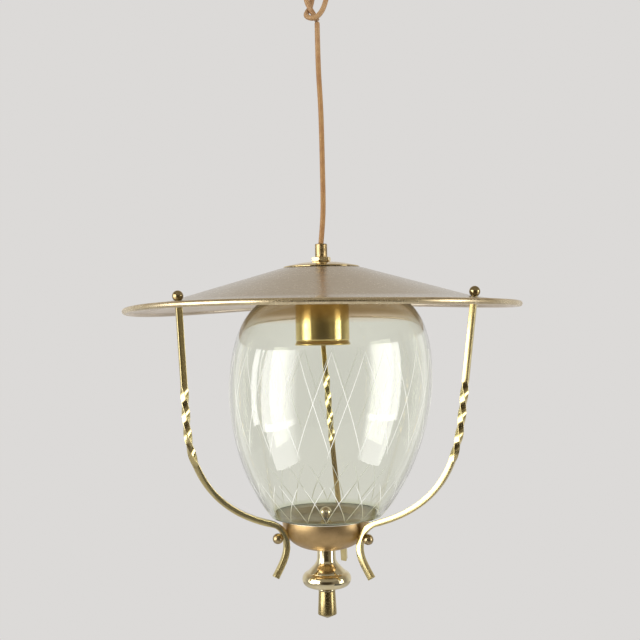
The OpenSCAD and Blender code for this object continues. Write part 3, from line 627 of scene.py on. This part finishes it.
# Lampholder: a drawn brass sleeve hung from the spigot by a lock nut, with a groove above its rolled lip.
# Inside are a brass cap, a porcelain body with the screw shell and contact, and two insulated wires.
SLEEVE_R, SLEEVE_TOP, SLEEVE_WALL, SLEEVE_GROOVE_Z, LIP_Z = 23.4, -259.3, 0.8, -317.2, -320.4
sleeve = turned("lampholder_sleeve", eased(
    [(SPIGOT_HOLE, SLEEVE_TOP, 0.2), (SLEEVE_R, SLEEVE_TOP, 3.4), (SLEEVE_R, SLEEVE_GROOVE_Z + 0.9, 0.3),
     (SLEEVE_R - 0.55, SLEEVE_GROOVE_Z, 0.35), (SLEEVE_R - 0.05, SLEEVE_GROOVE_Z - 0.9, 0.3),
     (SLEEVE_R + 0.25, LIP_Z + 1.2)]
    + arc(SLEEVE_R - 0.05, LIP_Z, 0.85, 0.85, 40, -150, 8)
    + [(SLEEVE_R - 1.15, LIP_Z + 1, 0.2), (SLEEVE_R - 0.85, SLEEVE_GROOVE_Z + 1.7, 0.3),
       (SLEEVE_R - SLEEVE_WALL, SLEEVE_TOP - SLEEVE_WALL, 2.8),
       (SPIGOT_HOLE, SLEEVE_TOP - SLEEVE_WALL, 0.1)], steps=6), steps=128)
sleeve_brass = metal_finish(
    "brushed brass of the sleeve", (0.82, 0.65, 0.28), (0.69, 0.52, 0.20), 0.17, 0.24, 0.45,
    patch_scale=110, speck_size=0.1, ring_density=3000, ring_strength=0.3)
use_material(sleeve, sleeve_brass)
hand_in(sleeve, "lamp", "polished_brass", "holder_sleeve")


def two_tone(name, colour, worn_colour, roughness, worn_roughness, scale, cover, metallic=0.0):
    """A plain surface whose colour and roughness change in worn patches."""
    material, tree = bare_material(name)
    wear = place_group(tree, patches, Scale=scale, Cover=cover)
    principled(tree, {"Base Color": mix_colours(tree, wear, colour, worn_colour), "Metallic": metallic,
                      "Roughness": spread(tree, wear, 0, 1, roughness, worn_roughness)})
    return material


plain_brass = metal_finish(
    "plain pressed brass", (0.74, 0.56, 0.26), (0.50, 0.36, 0.16), 0.26, 0.42, 0.5, patch_scale=150,
    speck_size=0.15)
plated_steel = metal_finish(
    "plated steel", (0.60, 0.60, 0.58), (0.38, 0.36, 0.33), 0.3, 0.5, 0.45, patch_scale=200,
    speck_size=0.15)
wire_skin = two_tone("brown wire insulation", (0.16, 0.075, 0.03), (0.22, 0.11, 0.05), 0.38, 0.5, 400, 0.5)
glazed, tree = bare_material("glazed porcelain")
pits = place_group(tree, specks, Scale=700.0, Size=0.1)
cloud = place_group(tree, patches, Scale=120, Cover=0.4)
tone = mix_colours(tree, cloud, (0.84, 0.83, 0.79), (0.80, 0.78, 0.72))
principled(tree, {
    "Base Color": mix_colours(tree, pits, tone, (0.45, 0.38, 0.30)),
    "Roughness": spread(tree, cloud, 0, 1, 0.16, 0.28), "Coat Weight": 0.4, "Coat Roughness": 0.08})
for material, names in (
        (plated_steel, ("lock_washer", "terminal_screws", "rod", "foot_nuts")),
        (plain_brass, ("lock_nut", "holder_cap", "screw_shell")),
        (glazed, ("holder_body",)), (bright_brass, ("centre_contact",)), (wire_skin, ("conductors",))):
    for name in names:
        use_material(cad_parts[name], material)

# Arms: three 5 mm square brass bars, each twisted one full left-handed turn and swept in to the cup.
# A turned stud on top goes up through the brim, and a screw through the foot holds the arm to the cup.
BAR, PLAIN_L, LEAD_L, TWIST_L, STUD_R, CAGE_H = 5.0, 68.0, 28.0, 66.0, 137.0, 188.3
BAR_STEPS, SWEEP_STEPS, FOOT_STEPS, TAIL_STEPS = 24, 120, 14, 30
BEND_PULL, SWEEP_PULL, FOOT_PULL, TAIL_PULL, TURN_FADE, TURN_END = 38, 61, 6, 15, 20, 4
CUP_R, CUP_H, CUP_POWER, FOOT_DROP, CUP_WALL, SEAT_GAP = 37.7, 27.4, 2.5, 11.0, 1.0, 0.1
stud_z = hat_height(STUD_R)
cup_z = stud_z - CAGE_H
# Side, bearing at the hat, inward slope, sideways lean, turn about the bar's own line, length of twist.
ARMS = [("rear", 91, 6.4, 4.2, 0, TWIST_L + 8), ("left", 213.5, 4.0, 1.9, 12, TWIST_L),
        ("right", 334, 6.4, 2.3, -2, TWIST_L)]


def cup_radius(depth, inset=0.0):
    return (CUP_R - inset) * (1 - (depth / (CUP_H - inset)) ** CUP_POWER) ** (1 / CUP_POWER)


def cup_depth(radius, inset=0.0):
    return (CUP_H - inset) * (1 - (radius / (CUP_R - inset)) ** CUP_POWER) ** (1 / CUP_POWER)


def bezier(a, b, c, d, steps):
    """Points of a cubic after its start, on plain (radius, height) vectors."""
    return [(1 - t) ** 3 * a + 3 * (1 - t) ** 2 * t * b + 3 * (1 - t) * t * t * c + t ** 3 * d
            for t in (k / steps for k in range(1, steps + 1))]


foot_tilt = math.atan2(FOOT_DROP ** (CUP_POWER - 1) / CUP_H ** CUP_POWER,
                       cup_radius(FOOT_DROP) ** (CUP_POWER - 1) / CUP_R ** CUP_POWER)
brim_tilt = math.radians(BRIM_SLOPE)
stud_down = Vector((-math.sin(brim_tilt), -math.cos(brim_tilt)))
arm_top = Vector((STUD_R, stud_z)) + (SHEET + SEAT_GAP) * stud_down
foot_out = Vector((math.cos(foot_tilt), -math.sin(foot_tilt)))
foot_down = Vector((-math.sin(foot_tilt), -math.cos(foot_tilt)))
foot = Vector((cup_radius(FOOT_DROP), cup_z - FOOT_DROP)) + (BAR / 2 + SEAT_GAP) * foot_out
sweep_end = foot + Vector((12.8, 11.4))
sweep_dir = Vector((math.cos(math.radians(17)), math.sin(math.radians(17))))
tail_end = foot + Vector((9, -35))
tail_dir = Vector((5, -8)).normalized()


def arm_profile(bar_slope):
    """Middle line of an arm as radius and height: plain bar, sweep in to the cup, foot and flared tail."""
    bar_down = Vector((-math.sin(math.radians(bar_slope)), -math.cos(math.radians(bar_slope))))
    bend_start = arm_top + (PLAIN_L + LEAD_L) * bar_down
    return (
        [arm_top + k / BAR_STEPS * PLAIN_L * bar_down for k in range(BAR_STEPS + 1)]
        + [arm_top + (PLAIN_L + k / BAR_STEPS * LEAD_L) * bar_down for k in range(1, BAR_STEPS + 1)]
        + bezier(bend_start, bend_start + BEND_PULL * bar_down,
                 sweep_end + SWEEP_PULL * sweep_dir, sweep_end, SWEEP_STEPS)
        + bezier(sweep_end, sweep_end - FOOT_PULL * sweep_dir, foot - FOOT_PULL * foot_down, foot, FOOT_STEPS)
        + bezier(foot, foot + TAIL_PULL * foot_down, tail_end - TAIL_PULL * tail_dir, tail_end, TAIL_STEPS)
    )


def arm_bearing(bearing, lean, point):
    """An arm's bearing at a point of its profile, as it leans sideways on its way down."""
    return math.radians(bearing) - math.asin((arm_top.y - point.y) * math.tan(math.radians(lean)) / point.x)


def arm_frames(bearing, bar_slope, lean):
    """Middle line, direction, outward side and cross side of an arm, with the run along it, in mm."""
    profile = arm_profile(bar_slope)
    turns = [arm_bearing(bearing, lean, p) for p in profile]
    line = [Vector((p.x * math.cos(a), p.x * math.sin(a), p.y)) for p, a in zip(profile, turns)]
    run, frames = 0.0, []
    for k, here in enumerate(line):
        if k:
            run += (here - line[k - 1]).length
            along = (line[min(k + 1, len(line) - 1)] - line[k - 1]).normalized()
        else:
            a = math.radians(bearing)
            along = Vector((stud_down.x * math.cos(a), stud_down.x * math.sin(a), stud_down.y))
        across = Vector((-math.sin(turns[k]), math.cos(turns[k]), 0))
        side = (across - across.dot(along) * along).normalized()
        frames.append((here, along, side.cross(along), side, run))
    return frames


def square_bar(name, bearing, bar_slope, lean, bar_turn, twist_length):
    """A cube drawn out to a bar, its edges eased, cut at each station and laid along the arm's line."""
    frames = arm_frames(bearing, bar_slope, lean)
    runs = [f[4] for f in frames]
    length = runs[-1]
    bpy.ops.object.select_all(action="DESELECT")
    bpy.ops.mesh.primitive_cube_add(size=1, location=(0, 0, length / 2 * MM),
                                    scale=(BAR * MM, BAR * MM, length * MM))
    piece = bpy.context.object
    piece.name = piece.data.name = name
    bpy.ops.object.transform_apply(location=True, rotation=True, scale=True)
    bpy.ops.object.mode_set(mode="EDIT")
    bpy.ops.mesh.select_mode(type="EDGE")
    bpy.ops.mesh.select_all(action="DESELECT")
    mesh = bmesh.from_edit_mesh(piece.data)
    for edge in mesh.edges:
        a, b = (v.co for v in edge.verts)
        edge.select = abs(a.z - b.z) > length * MM / 2
    bmesh.update_edit_mesh(piece.data)
    bpy.ops.mesh.bevel(offset=0.42 * MM, segments=3)
    bpy.ops.mesh.select_all(action="DESELECT")
    mesh = bmesh.from_edit_mesh(piece.data)
    for edge in mesh.edges:
        level = all(abs(v.co.z - edge.verts[0].co.z) < 1e-6 for v in edge.verts)
        edge.select = level and len(edge.link_faces) == 2 and any(len(f.verts) > 6 for f in edge.link_faces)
    bmesh.update_edit_mesh(piece.data)
    bpy.ops.mesh.bevel(offset=0.3 * MM, segments=2)
    for run in runs[1:-1]:
        bpy.ops.mesh.select_all(action="SELECT")
        bpy.ops.mesh.bisect(plane_co=(0, 0, run * MM), plane_no=(0, 0, 1))
    bpy.ops.object.mode_set(mode="OBJECT")
    foot_run = runs[2 * BAR_STEPS + SWEEP_STEPS + FOOT_STEPS]
    k = 0
    for vertex in sorted(piece.data.vertices, key=lambda v: v.co.z):
        run = min(max(vertex.co.z / MM, 0.0), length)
        while k < len(runs) - 2 and runs[k + 1] <= run:
            k += 1
        part = (run - runs[k]) / (runs[k + 1] - runs[k])
        here, along, out, side = (frames[k][n].lerp(frames[k + 1][n], part) for n in range(4))
        still_turned = min(max((foot_run - TURN_END - run) / TURN_FADE, 0), 1)
        twisted = min(max((run - PLAIN_L) / twist_length, 0), 1)
        turn = math.radians(bar_turn * still_turned - 360 * twisted)
        x, y = vertex.co.x, vertex.co.y
        vertex.co = here * MM + (x * math.cos(turn) - y * math.sin(turn)) * out.normalized() \
            + (x * math.sin(turn) + y * math.cos(turn)) * side.normalized()
    bpy.ops.object.mode_set(mode="EDIT")
    bpy.ops.mesh.select_all(action="SELECT")
    leave_edit_mode()
    return piece


def stand_at(piece, matrix):
    """Moves a piece from the origin to its place and leaves the place in its mesh."""
    select_only(piece)
    piece.matrix_world = matrix
    bpy.ops.object.transform_apply(location=True, rotation=True, scale=True)


def joined(*pieces):
    select_only(*pieces)
    bpy.ops.object.join()
    return pieces[0]


def on_stud(bearing):
    """The place of an arm's stud on the brim, upright to it, in metres."""
    seat = Matrix.Translation(Vector((STUD_R, 0, stud_z)) * MM)
    return Matrix.Rotation(math.radians(bearing), 4, "Z") @ seat @ Matrix.Rotation(brim_tilt, 4, "Y")


bar_brass = metal_finish(
    "olive brass of the arms", (0.78, 0.66, 0.34), (0.70, 0.57, 0.26), 0.17, 0.22, 0.45, patch_scale=120,
    speck_size=0.12, ring_density=900, ring_strength=0.08)
for side, bearing, bar_slope, lean, bar_turn, twist_length in ARMS:
    stud = turned("stud_" + side, eased([
        (0, -2.0), (2.0, -2.0), (2.0, 6.2, 0.3), (1.5, 6.8, 0.2), (0, 6.8)]), steps=32)
    stand_at(stud, on_stud(bearing))
    arm = joined(square_bar("arm_bar_" + side, bearing, bar_slope, lean, bar_turn, twist_length), stud)
    bpy.ops.object.shade_smooth_by_angle(angle=math.radians(32))
    use_material(arm, bar_brass)
    hand_in(arm, "lamp", "polished_brass", "arm_" + side)

# Ball nuts: three 9 mm brass balls on small flats that screw down on the arms' studs and hold the hat.
# They are the most handled pieces, and their polish has gone brown in patches.
BALL_R, BALL_FLAT, BALL_BORE_R, BALL_BORE_L = 4.5, 0.8, 2.05, 7.2
ball_brass = metal_finish(
    "tarnished ball brass", (0.50, 0.40, 0.21), (0.32, 0.24, 0.11), 0.14, 0.22, 0.42, patch_scale=260,
    speck_size=0.2, ring_density=5200, ring_strength=0.12)
flat_angle = math.degrees(math.asin((BALL_R - BALL_FLAT) / BALL_R))
ball_outline = arc(0, BALL_R - BALL_FLAT, BALL_R, BALL_R, -flat_angle + 3, 90, 28)[:-1] \
    + [(0, 2 * BALL_R - BALL_FLAT)]
for side, bearing, _, _, _, _ in ARMS:
    bored = [(0, BALL_BORE_L), (BALL_BORE_R, BALL_BORE_L), (BALL_BORE_R, 0)] + ball_outline
    ball = turned("ball_nut_" + side + "_turned", bored, steps=64, smooth=50)
    stand_at(ball, on_stud(bearing) @ Matrix.Translation((0, 0, SEAT_GAP * MM)))
    use_material(ball, ball_brass)
    hand_in(ball, "nut_" + side, "dull_brass", "ball_nut_" + side)

# Glass: a mould-blown urn of thin clear glass with a faint green tint, about 175 mm at its belly.
# It is cut outside with a row of long fine crosses and a closer lattice above the heel.
WALL, MOUTH_WALL, HEEL_WALL, FLOOR_T, FLOOR_X, GLASS_LEAN = 2.4, 4.2, 3.2, 2.0, 1.0, 2.6
DISH_R, DISH_EDGE_R, SEAT_R, DISH_DEPTH, GLASS_HOLE_R = 26.2, 30.7, 41.7, 4.4, 7.0
seat_z = cup_z + 0.7
floor_top = seat_z + 2.4
dish_z = seat_z - DISH_DEPTH
heel = Vector((48.3, seat_z + 1.5))
belly = Vector((87.66, -354.0))
mouth = Vector((50.0, hat_height(50) - SHEET - 15.7))
lower_side = [heel] + bezier(heel, heel + Vector((28.9, 36.1)), belly - Vector((0, 34.5)), belly, 44)
upper_side = bezier(belly, belly + Vector((0, 48.95)), mouth + Vector((22.0, -10.25)), mouth, 44)
outside = lower_side + upper_side
inside = []
for k, here in enumerate(outside):
    along = (outside[min(k + 1, len(outside) - 1)] - outside[max(k - 1, 0)]).normalized()
    if k < len(lower_side):
        wall = WALL + (HEEL_WALL - WALL) * (1 - k / len(lower_side)) ** 3
    else:
        wall = WALL + (MOUTH_WALL - WALL) * ((k - len(lower_side)) / len(upper_side)) ** 1.5
    inside.append(here + wall * Vector((-along.y, along.x)))
inside = [p for p in inside if p.y > floor_top + 1.2]
lip_centre = (outside[-1] + inside[-1]) / 2
lip_start = math.degrees(math.atan2(outside[-1].y - lip_centre.y, outside[-1].x - lip_centre.x))
lip_r = MOUTH_WALL / 2
mouth_lip = arc(lip_centre.x, lip_centre.y, lip_r, lip_r, lip_start, lip_start + 180, 10)[1:-1]
glass = turned("cut_glass_urn", eased(
    [(GLASS_HOLE_R, dish_z, 0.3), (DISH_R, dish_z, 1.2), (DISH_EDGE_R, seat_z, 1.2), (SEAT_R, seat_z, 1.0),
     (*heel, 0.8)]
    + [tuple(p) for p in outside[2:]] + mouth_lip + [tuple(p) for p in reversed(inside)]
    + [(inside[0].x - 1.6, floor_top, 1.5), (DISH_EDGE_R, floor_top, 1.2), (DISH_R, dish_z + FLOOR_T, 1.2),
       (GLASS_HOLE_R, dish_z + FLOOR_T, 0.3)]), steps=192, smooth=60)


def glass_centre(z):
    """The glass leans to the right: its middle moves over with height, in mm."""
    return FLOOR_X + (z - seat_z) * math.tan(math.radians(GLASS_LEAN))


for vertex in glass.data.vertices:
    vertex.co.x += glass_centre(vertex.co.z / MM) * MM


def glass_shader(tree, inputs):
    """Glass that the lamps' light passes straight, as it does a thin wall."""
    shader = put(tree, "ShaderNodeBsdfPrincipled", {"Transmission Weight": 1.0, **inputs})
    clear = put(tree, "ShaderNodeBsdfTransparent", {"Color": (0.93, 0.945, 0.92)})
    in_shadow = put(tree, "ShaderNodeLightPath").outputs["Is Shadow Ray"]
    show(tree, put(tree, "ShaderNodeMixShader", {0: in_shadow, 1: shader.outputs[0], 2: clear.outputs[0]}))
    return shader


clear_glass, tree = bare_material("clear glass, faintly green")
smear = place_group(tree, patches, Scale=22, Cover=0.35)
seeds = place_group(tree, specks, Scale=150.0, Size=0.06)
swirl = noise(tree, object_place(tree), 26, 2)
# Darker green at the heel and brown towards the mouth, under the hat: that brown is painted shade from the
# hat.
tint = ramp(tree, spread(tree, height_of(tree), seat_z * MM, mouth.y * MM), [
    (0.0, (0.42, 0.47, 0.27)), (0.014, (0.80, 0.83, 0.66)), (0.034, (0.957, 0.970, 0.912)),
    (0.876, (0.957, 0.970, 0.912)), (0.895, (0.93, 0.865, 0.745)), (1.0, (0.91, 0.83, 0.70))])
shader = glass_shader(tree, {
    "Base Color": mix_colours(tree, seeds, tint, (0.80, 0.84, 0.78)), "IOR": 1.5,
    "Roughness": spread(tree, smear, 0, 1, 0.0, 0.0035), "Normal": raised(tree, swirl, 0.045, 0.4)})
inner_glass = clear_glass.copy()
inner_glass.name = "clear glass, inner face"
inner_glass.node_tree.nodes[shader.name].inputs["Specular Tint"].default_value = (0.2, 0.2, 0.2, 1)
floor_glass, tree = bare_material("glass of the urn's floor")
smear = place_group(tree, patches, Scale=60, Cover=0.4)
glass_shader(tree, {
    "Base Color": mix_colours(tree, smear, (0.90, 0.90, 0.78), (0.84, 0.84, 0.70)), "IOR": 1.1,
    "Roughness": spread(tree, smear, 0, 1, 0.0, 0.03)})
use_material(glass, clear_glass, floor_glass, inner_glass)
for face in glass.data.polygons:
    x, y, z = (value / MM for value in face.center)
    if z < floor_top + 0.3 and math.hypot(x, y) < inside[0].x + 0.5:
        face.material_index = 1
    elif face.normal.x * (x - glass_centre(z)) + face.normal.y * y < 0:
        face.material_index = 2
hand_in(glass, "lamp", "glass", "glass")


def glass_point(bearing, z, lift):
    """A point on the glass's outer face at a bearing and height, lifted off it, in mm."""
    for a, b in zip(outside, outside[1:]):
        if a.y <= z <= b.y:
            p = a.lerp(b, (z - a.y) / (b.y - a.y)) + lift * Vector((b.y - a.y, a.x - b.x)).normalized()
            return Vector((glass_centre(p.y) + p.x * math.cos(bearing), p.x * math.sin(bearing), p.y))


def cut_line(mesh, start, hand, top_z, foot_z, swing, steps):
    """One thin spindle of a cut, half sunk in the glass, that swings to one hand on its way down."""
    rows = []
    for k in range(steps + 1):
        t = k / steps
        z = top_z + (foot_z - top_z) * t
        a = start + hand * swing * t
        here = glass_point(a, z, 0.0)
        if k < steps:
            run = (glass_point(a + hand * 0.01, z + (foot_z - top_z) * 0.01 / swing, 0.0) - here).normalized()
        up = (glass_point(a, z, 1.0) - here).normalized()
        across = up.cross(run).normalized()
        width = CUT_W / 2 * min(1, 0.25 + 6 * t, 0.25 + 6 * (1 - t))
        rows.append([mesh.verts.new((here + across * width * s + up * h) * MM)
                     for s, h in ((-1, 0.01), (0, 0.09), (1, 0.01), (0, -0.1))])
    for one, two in zip(rows, rows[1:]):
        for j in range(4):
            face = mesh.faces.new((one[j], one[(j + 1) % 4], two[(j + 1) % 4], two[j]))
            # The two faces sunk in the glass take the second, darker material: painted shade.
            face.material_index = j // 2
    mesh.faces.new(rows[0])
    mesh.faces.new(rows[-1][::-1])


CUT_W, REPEATS = 0.55, 20
# Bearing of the first cross, height of its tips at the start and the end of its cuts, swing, steps.
CUT_ROWS = [(269.4, -325.5, -410.0, 18.9, 24), (269.0, -467.0, -434.0, 16.5, 16)]
bpy.ops.object.select_all(action="DESELECT")
bpy.ops.mesh.primitive_plane_add(size=MM)
cuts = bpy.context.object
cuts.name = cuts.data.name = "cut_lines_on_glass"
bpy.ops.object.mode_set(mode="EDIT")
bpy.ops.mesh.delete(type="VERT")
mesh = bmesh.from_edit_mesh(cuts.data)
for first, top_z, foot_z, swing, steps in CUT_ROWS:
    for repeat in range(REPEATS):
        for hand in (-1, 1):
            cut_line(mesh, math.radians(360 / REPEATS * repeat + first), hand, top_z, foot_z,
                     math.radians(swing), steps)
bmesh.update_edit_mesh(cuts.data)
bpy.ops.mesh.select_all(action="SELECT")
leave_edit_mode()
frosted_cut, tree = bare_material("frosted cut")
ground = place_group(tree, patches, Scale=900, Cover=0.5)
# Low cuts, in front of the plate, are painted darker and yellower: painted shade.
painted_shade_over_plate = ramp(tree, spread(tree, height_of(tree), -0.456, -0.448),
                  [(0.0, (0.55, 0.53, 0.38)), (1.0, (1, 1, 1))])
white = mix_colours(tree, ground, (0.95, 0.95, 0.90), (0.82, 0.83, 0.76))
principled(tree, {
    "Base Color": mix_colours(tree, 1.0, white, painted_shade_over_plate, "MULTIPLY"),
    "Roughness": spread(tree, ground, 0, 1, 0.5, 0.7),
    # The cuts glow faintly through their emission: painted light.
    "Emission Color": mix_colours(tree, 1.0, (0.95, 0.95, 0.88), painted_shade_over_plate, "MULTIPLY"),
    "Emission Strength": 0.30})
# The cuts' sunk sides are a dark copy of the cut: painted shade.
cut_inside_painted_shade = two_tone(
    "ground cut, inner side painted dark as shade", (0.34, 0.36, 0.29), (0.24, 0.26, 0.20), 0.4, 0.6, 900, 0.5)
use_material(cuts, frosted_cut, cut_inside_painted_shade)
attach(cuts, "lamp")

# Cup: a deep saucer spun from brass and finished in satin copper-gold, with a thin lip painted pale as a
# highlight.
# A thin dark ring lies on its edge and the glass stands on that.
ROD_HOLE, FINIAL_SEAT_R, CUP_FLOOR_R, LIP_DROP = 2.7, 9.1, 8.7, 0.55
seat_depth = cup_depth(FINIAL_SEAT_R)
floor_depth = cup_depth(CUP_FLOOR_R, CUP_WALL)
finial_z = math.floor((cup_z - seat_depth) * 1000) / 1000


def cup_wall(depth, steps, inset):
    """One face of the cup from its edge down to a depth, in steps that close up towards the foot."""
    depths = [depth * math.sin(math.radians(90 * k / steps)) for k in range(steps + 1)]
    return [(cup_radius(d, inset), cup_z - d) for d in depths if d > LIP_DROP]


lip = arc(CUP_R - CUP_WALL / 2, cup_z - 0.5, 0.5, 0.5, 180, 0, 10)
cup = turned("satin_cup", (
    cup_wall(seat_depth, 48, 0.0) + [(ROD_HOLE, finial_z), (ROD_HOLE, cup_z - floor_depth)]
    + cup_wall(floor_depth, 36, CUP_WALL)[::-1] + lip), steps=128)
satin_copper = metal_finish(
    "satin copper-gold of the cup", (0.58, 0.40, 0.195), (0.50, 0.34, 0.155), 0.36, 0.42, 0.45,
    patch_scale=60, speck_size=0.12, ring_density=2600, ring_strength=0.2)
# The lip is painted pale and partly non-metal, so the lamps light it: a painted highlight.
lip_painted_highlight = two_tone(
    "pale lip of the cup, painted highlight", (1.0, 0.95, 0.80), (0.90, 0.80, 0.58), 0.34, 0.42, 120, 0.35, 0.2)
cup_inside, tree = bare_material("dull inside of the cup")
wear = place_group(tree, patches, Scale=130, Cover=0.5)
principled(tree, {
    "Base Color": mix_colours(tree, wear, (0.50, 0.37, 0.20), (0.38, 0.27, 0.14)), "Metallic": 0.3,
    "Roughness": spread(tree, wear, 0, 1, 0.30, 0.42),
    "Normal": raised(tree, place_group(tree, rings, Density=2600), 0.3, 0.02)})
use_material(cup, satin_copper, lip_painted_highlight, cup_inside)
for face in cup.data.polygons:
    if face.center.z / MM > cup_z - 0.7:
        face.material_index = 1
    elif face.normal.dot(Vector((face.center.x, face.center.y, face.center.z - cup_z * MM))) < 0:
        face.material_index = 2
hand_in(cup, "lamp", "satin_copper", "cup")

SEAT_RING = (34.7, 37.6)
seat_ring = turned("seat_ring_flat", eased([
    (SEAT_RING[0], cup_z + 0.02, 0.1), (SEAT_RING[1], cup_z + 0.02, 0.2),
    (SEAT_RING[1], cup_z + 0.6, 0.2), (SEAT_RING[0], cup_z + 0.6, 0.1)]), steps=96)
ring_stuff = two_tone("dark seat ring", (0.13, 0.11, 0.06), (0.19, 0.16, 0.10), 0.6, 0.8, 500, 0.5)
use_material(seat_ring, ring_stuff)
hand_in(seat_ring, "lamp", "seat_ring", "seat_ring")

# Foot screws: three brass screws with ball heads like the ball nuts, only on necks.
# Each goes through an arm's foot and the cup's wall into a nut inside.
NECK_L, SCREW_R, SCREW_L = 5.53, 1.5, 4.5


def at_foot(bearing, lean):
    """The place of a foot screw on the cup's wall, upright to it, in metres."""
    seat = Matrix.Translation(Vector((cup_radius(FOOT_DROP), 0, cup_z - FOOT_DROP)) * MM)
    turn = Matrix.Rotation(arm_bearing(bearing, lean, foot), 4, "Z")
    return turn @ seat @ Matrix.Rotation(math.pi / 2 + foot_tilt, 4, "Y")


screws = []
for side, bearing, _, lean, _, _ in ARMS:
    shank = [(0, -SCREW_L), (SCREW_R - 0.2, -SCREW_L), (SCREW_R, 0.3 - SCREW_L), (SCREW_R, NECK_L - 0.3)]
    head = [(2.0, NECK_L)] + [(r, z + NECK_L) for r, z in ball_outline]
    screw = turned("foot_screw_" + side, shank + head, steps=64, smooth=50)
    stand_at(screw, at_foot(bearing, lean))
    screws.append(screw)
foot_screws = joined(*screws)
foot_screws.name = "foot_screws_ball_headed"
screw_brass = metal_finish(
    "dull brass of the foot screws", (0.55, 0.43, 0.24), (0.36, 0.27, 0.14), 0.26, 0.36, 0.5,
    patch_scale=260, speck_size=0.2, ring_density=5200, ring_strength=0.15)
use_material(foot_screws, screw_brass)
hand_in(foot_screws, "lamp", "dull_brass", "foot_screws")

# Clamping rod: a steel rod from the ball nut on the glass's floor down into the knob.
# A thin dished brass plate lies on the floor of the glass and spreads the ball nut's load.
PLATE_R, PLATE_T, ROD_BALL_SCALE, ROD_BORE = 45.4, 0.8, 1.2, 2.55
plate_z = dish_z + FLOOR_T
plate_top = floor_top + 0.65
plate = turned("clamping_plate", eased([
    (ROD_HOLE, plate_z, 0.1), (DISH_R - 0.3, plate_z, 1.2), (DISH_EDGE_R - 0.3, floor_top + 0.05, 1.2),
    (PLATE_R, floor_top + 0.05, 0.1), (PLATE_R, plate_top, 0.3), (DISH_EDGE_R - 0.5, plate_top, 1.2),
    (DISH_R - 0.5, plate_z + PLATE_T, 1.2), (ROD_HOLE, plate_z + PLATE_T, 0.2)]), steps=96)
plate_finish, tree = bare_material("brown brass of the plate, green at its rim")
wear = place_group(tree, patches, Scale=130, Cover=0.5)
# Darker and greener towards the rim, by the glass's heel: painted shade.
tone = ramp(tree, spread(tree, axis_distance(tree), 0.034, 0.045),
            [(0.0, (0.53, 0.46, 0.26)), (0.7, (0.33, 0.33, 0.18)), (1.0, (0.16, 0.21, 0.11))])
principled(tree, {
    "Base Color": mix_colours(tree, times(tree, wear, 0.4), tone, (0.40, 0.31, 0.18)),
    "Metallic": 0.6, "Roughness": spread(tree, wear, 0, 1, 0.34, 0.44),
    "Normal": raised(tree, place_group(tree, rings, Density=1800), 0.3, 0.02)})
use_material(plate, plate_finish)
hand_in(plate, "lamp", "polished_brass", "rod_washer")
nut_z = plate_z + PLATE_T + SEAT_GAP
rod_ball = turned("rod_ball_nut_turned",
                  [(0, nut_z + BALL_BORE_L), (ROD_BORE, nut_z + BALL_BORE_L), (ROD_BORE, nut_z)]
                  + [(r * ROD_BALL_SCALE, z * ROD_BALL_SCALE + nut_z) for r, z in ball_outline],
                  steps=64, smooth=50)
pale_brass = metal_finish(
    "pale brass of the rod's ball nut", (1.0, 0.90, 0.62), (0.86, 0.74, 0.46), 0.24, 0.32, 0.4,
    patch_scale=260, speck_size=0.12)
use_material(rod_ball, pale_brass)
hand_in(rod_ball, "lamp", "dull_brass", "rod_ball_nut")

# Finial: one turned brass piece, a straight neck, a cove and a bulged ring 42.6 mm across, polished bright.
# The plain knob under its collar is threaded on the rod's end and pulls the stack together; it has gone dull.
NECK_R, NECK_H, COVE_H, RING_R, RING_H, BULGE, COLLAR_H = 8.1, 11.2, 8.5, 21.3, 12.6, 6.0, 3.9
GROOVE_R, KNOB_R, KNOB_H = 6.9, 8.2, 20.3
cove_top = finial_z - NECK_H
ring_top = cove_top - COVE_H
ring_foot = ring_top - RING_H
knob_z = ring_foot - COLLAR_H
cove = [(NECK_R, cove_top + 8), (NECK_R, cove_top, 5), (RING_R - BULGE + 1.2, ring_top + 0.2)]
finial = turned("turned_finial", (
    [(ROD_HOLE, finial_z), (NECK_R - 0.25, finial_z), (NECK_R, finial_z - 0.25)] + eased(cove, steps=10)[1:]
    + arc(RING_R - BULGE, ring_top - RING_H / 2, BULGE, RING_H / 2, 77, -90, 36)
    + eased([
        (GROOVE_R, ring_foot - 0.2, 0.2), (GROOVE_R, ring_foot - 1.5, 0.2), (NECK_R, ring_foot - 1.8, 0.2),
        (NECK_R, knob_z + 0.5, 0.2), (NECK_R - 0.9, knob_z, 0.2)])
    + [(ROD_HOLE, knob_z)]), steps=128)
finial_brass = metal_finish(
    "polished brass of the finial", (0.90, 0.80, 0.54), (0.80, 0.68, 0.40), 0.08, 0.13, 0.42,
    patch_scale=120, speck_size=0.14, ring_density=3200)
# The groove under the ring is painted dark: painted shade in the recess.
groove_painted_shade = metal_finish("groove painted dark as shade", (0.22, 0.16, 0.07), (0.16, 0.11, 0.05), 0.3, 0.4, 0.5)
use_material(finial, finial_brass, groove_painted_shade)
for face in finial.data.polygons:
    if math.hypot(face.center.x, face.center.y) / MM < NECK_R - 0.2 and face.center.z / MM < ring_foot:
        face.material_index = 1
hand_in(finial, "lamp", "polished_brass", "finial_body")

knob_top = knob_z - SEAT_GAP
knob_end = knob_top - KNOB_H
knob = turned("finial_knob_turned", eased([
    (ROD_BORE, knob_top), (NECK_R - 0.9, knob_top, 0.3), (KNOB_R, knob_end, 0.6), (2.4, knob_end - 2.8, 0.5),
    (0, knob_end - 3.8), (0, knob_end + 4), (ROD_BORE, knob_end + 4)]), steps=96)
knob_brass = metal_finish(
    "dull brass of the knob", (0.52, 0.42, 0.20), (0.42, 0.33, 0.15), 0.22, 0.28, 0.5, patch_scale=150,
    speck_size=0.12, ring_density=3800, ring_strength=0.10)
use_material(knob, knob_brass)
hand_in(knob, "knob", "dull_brass", "finial_knob")
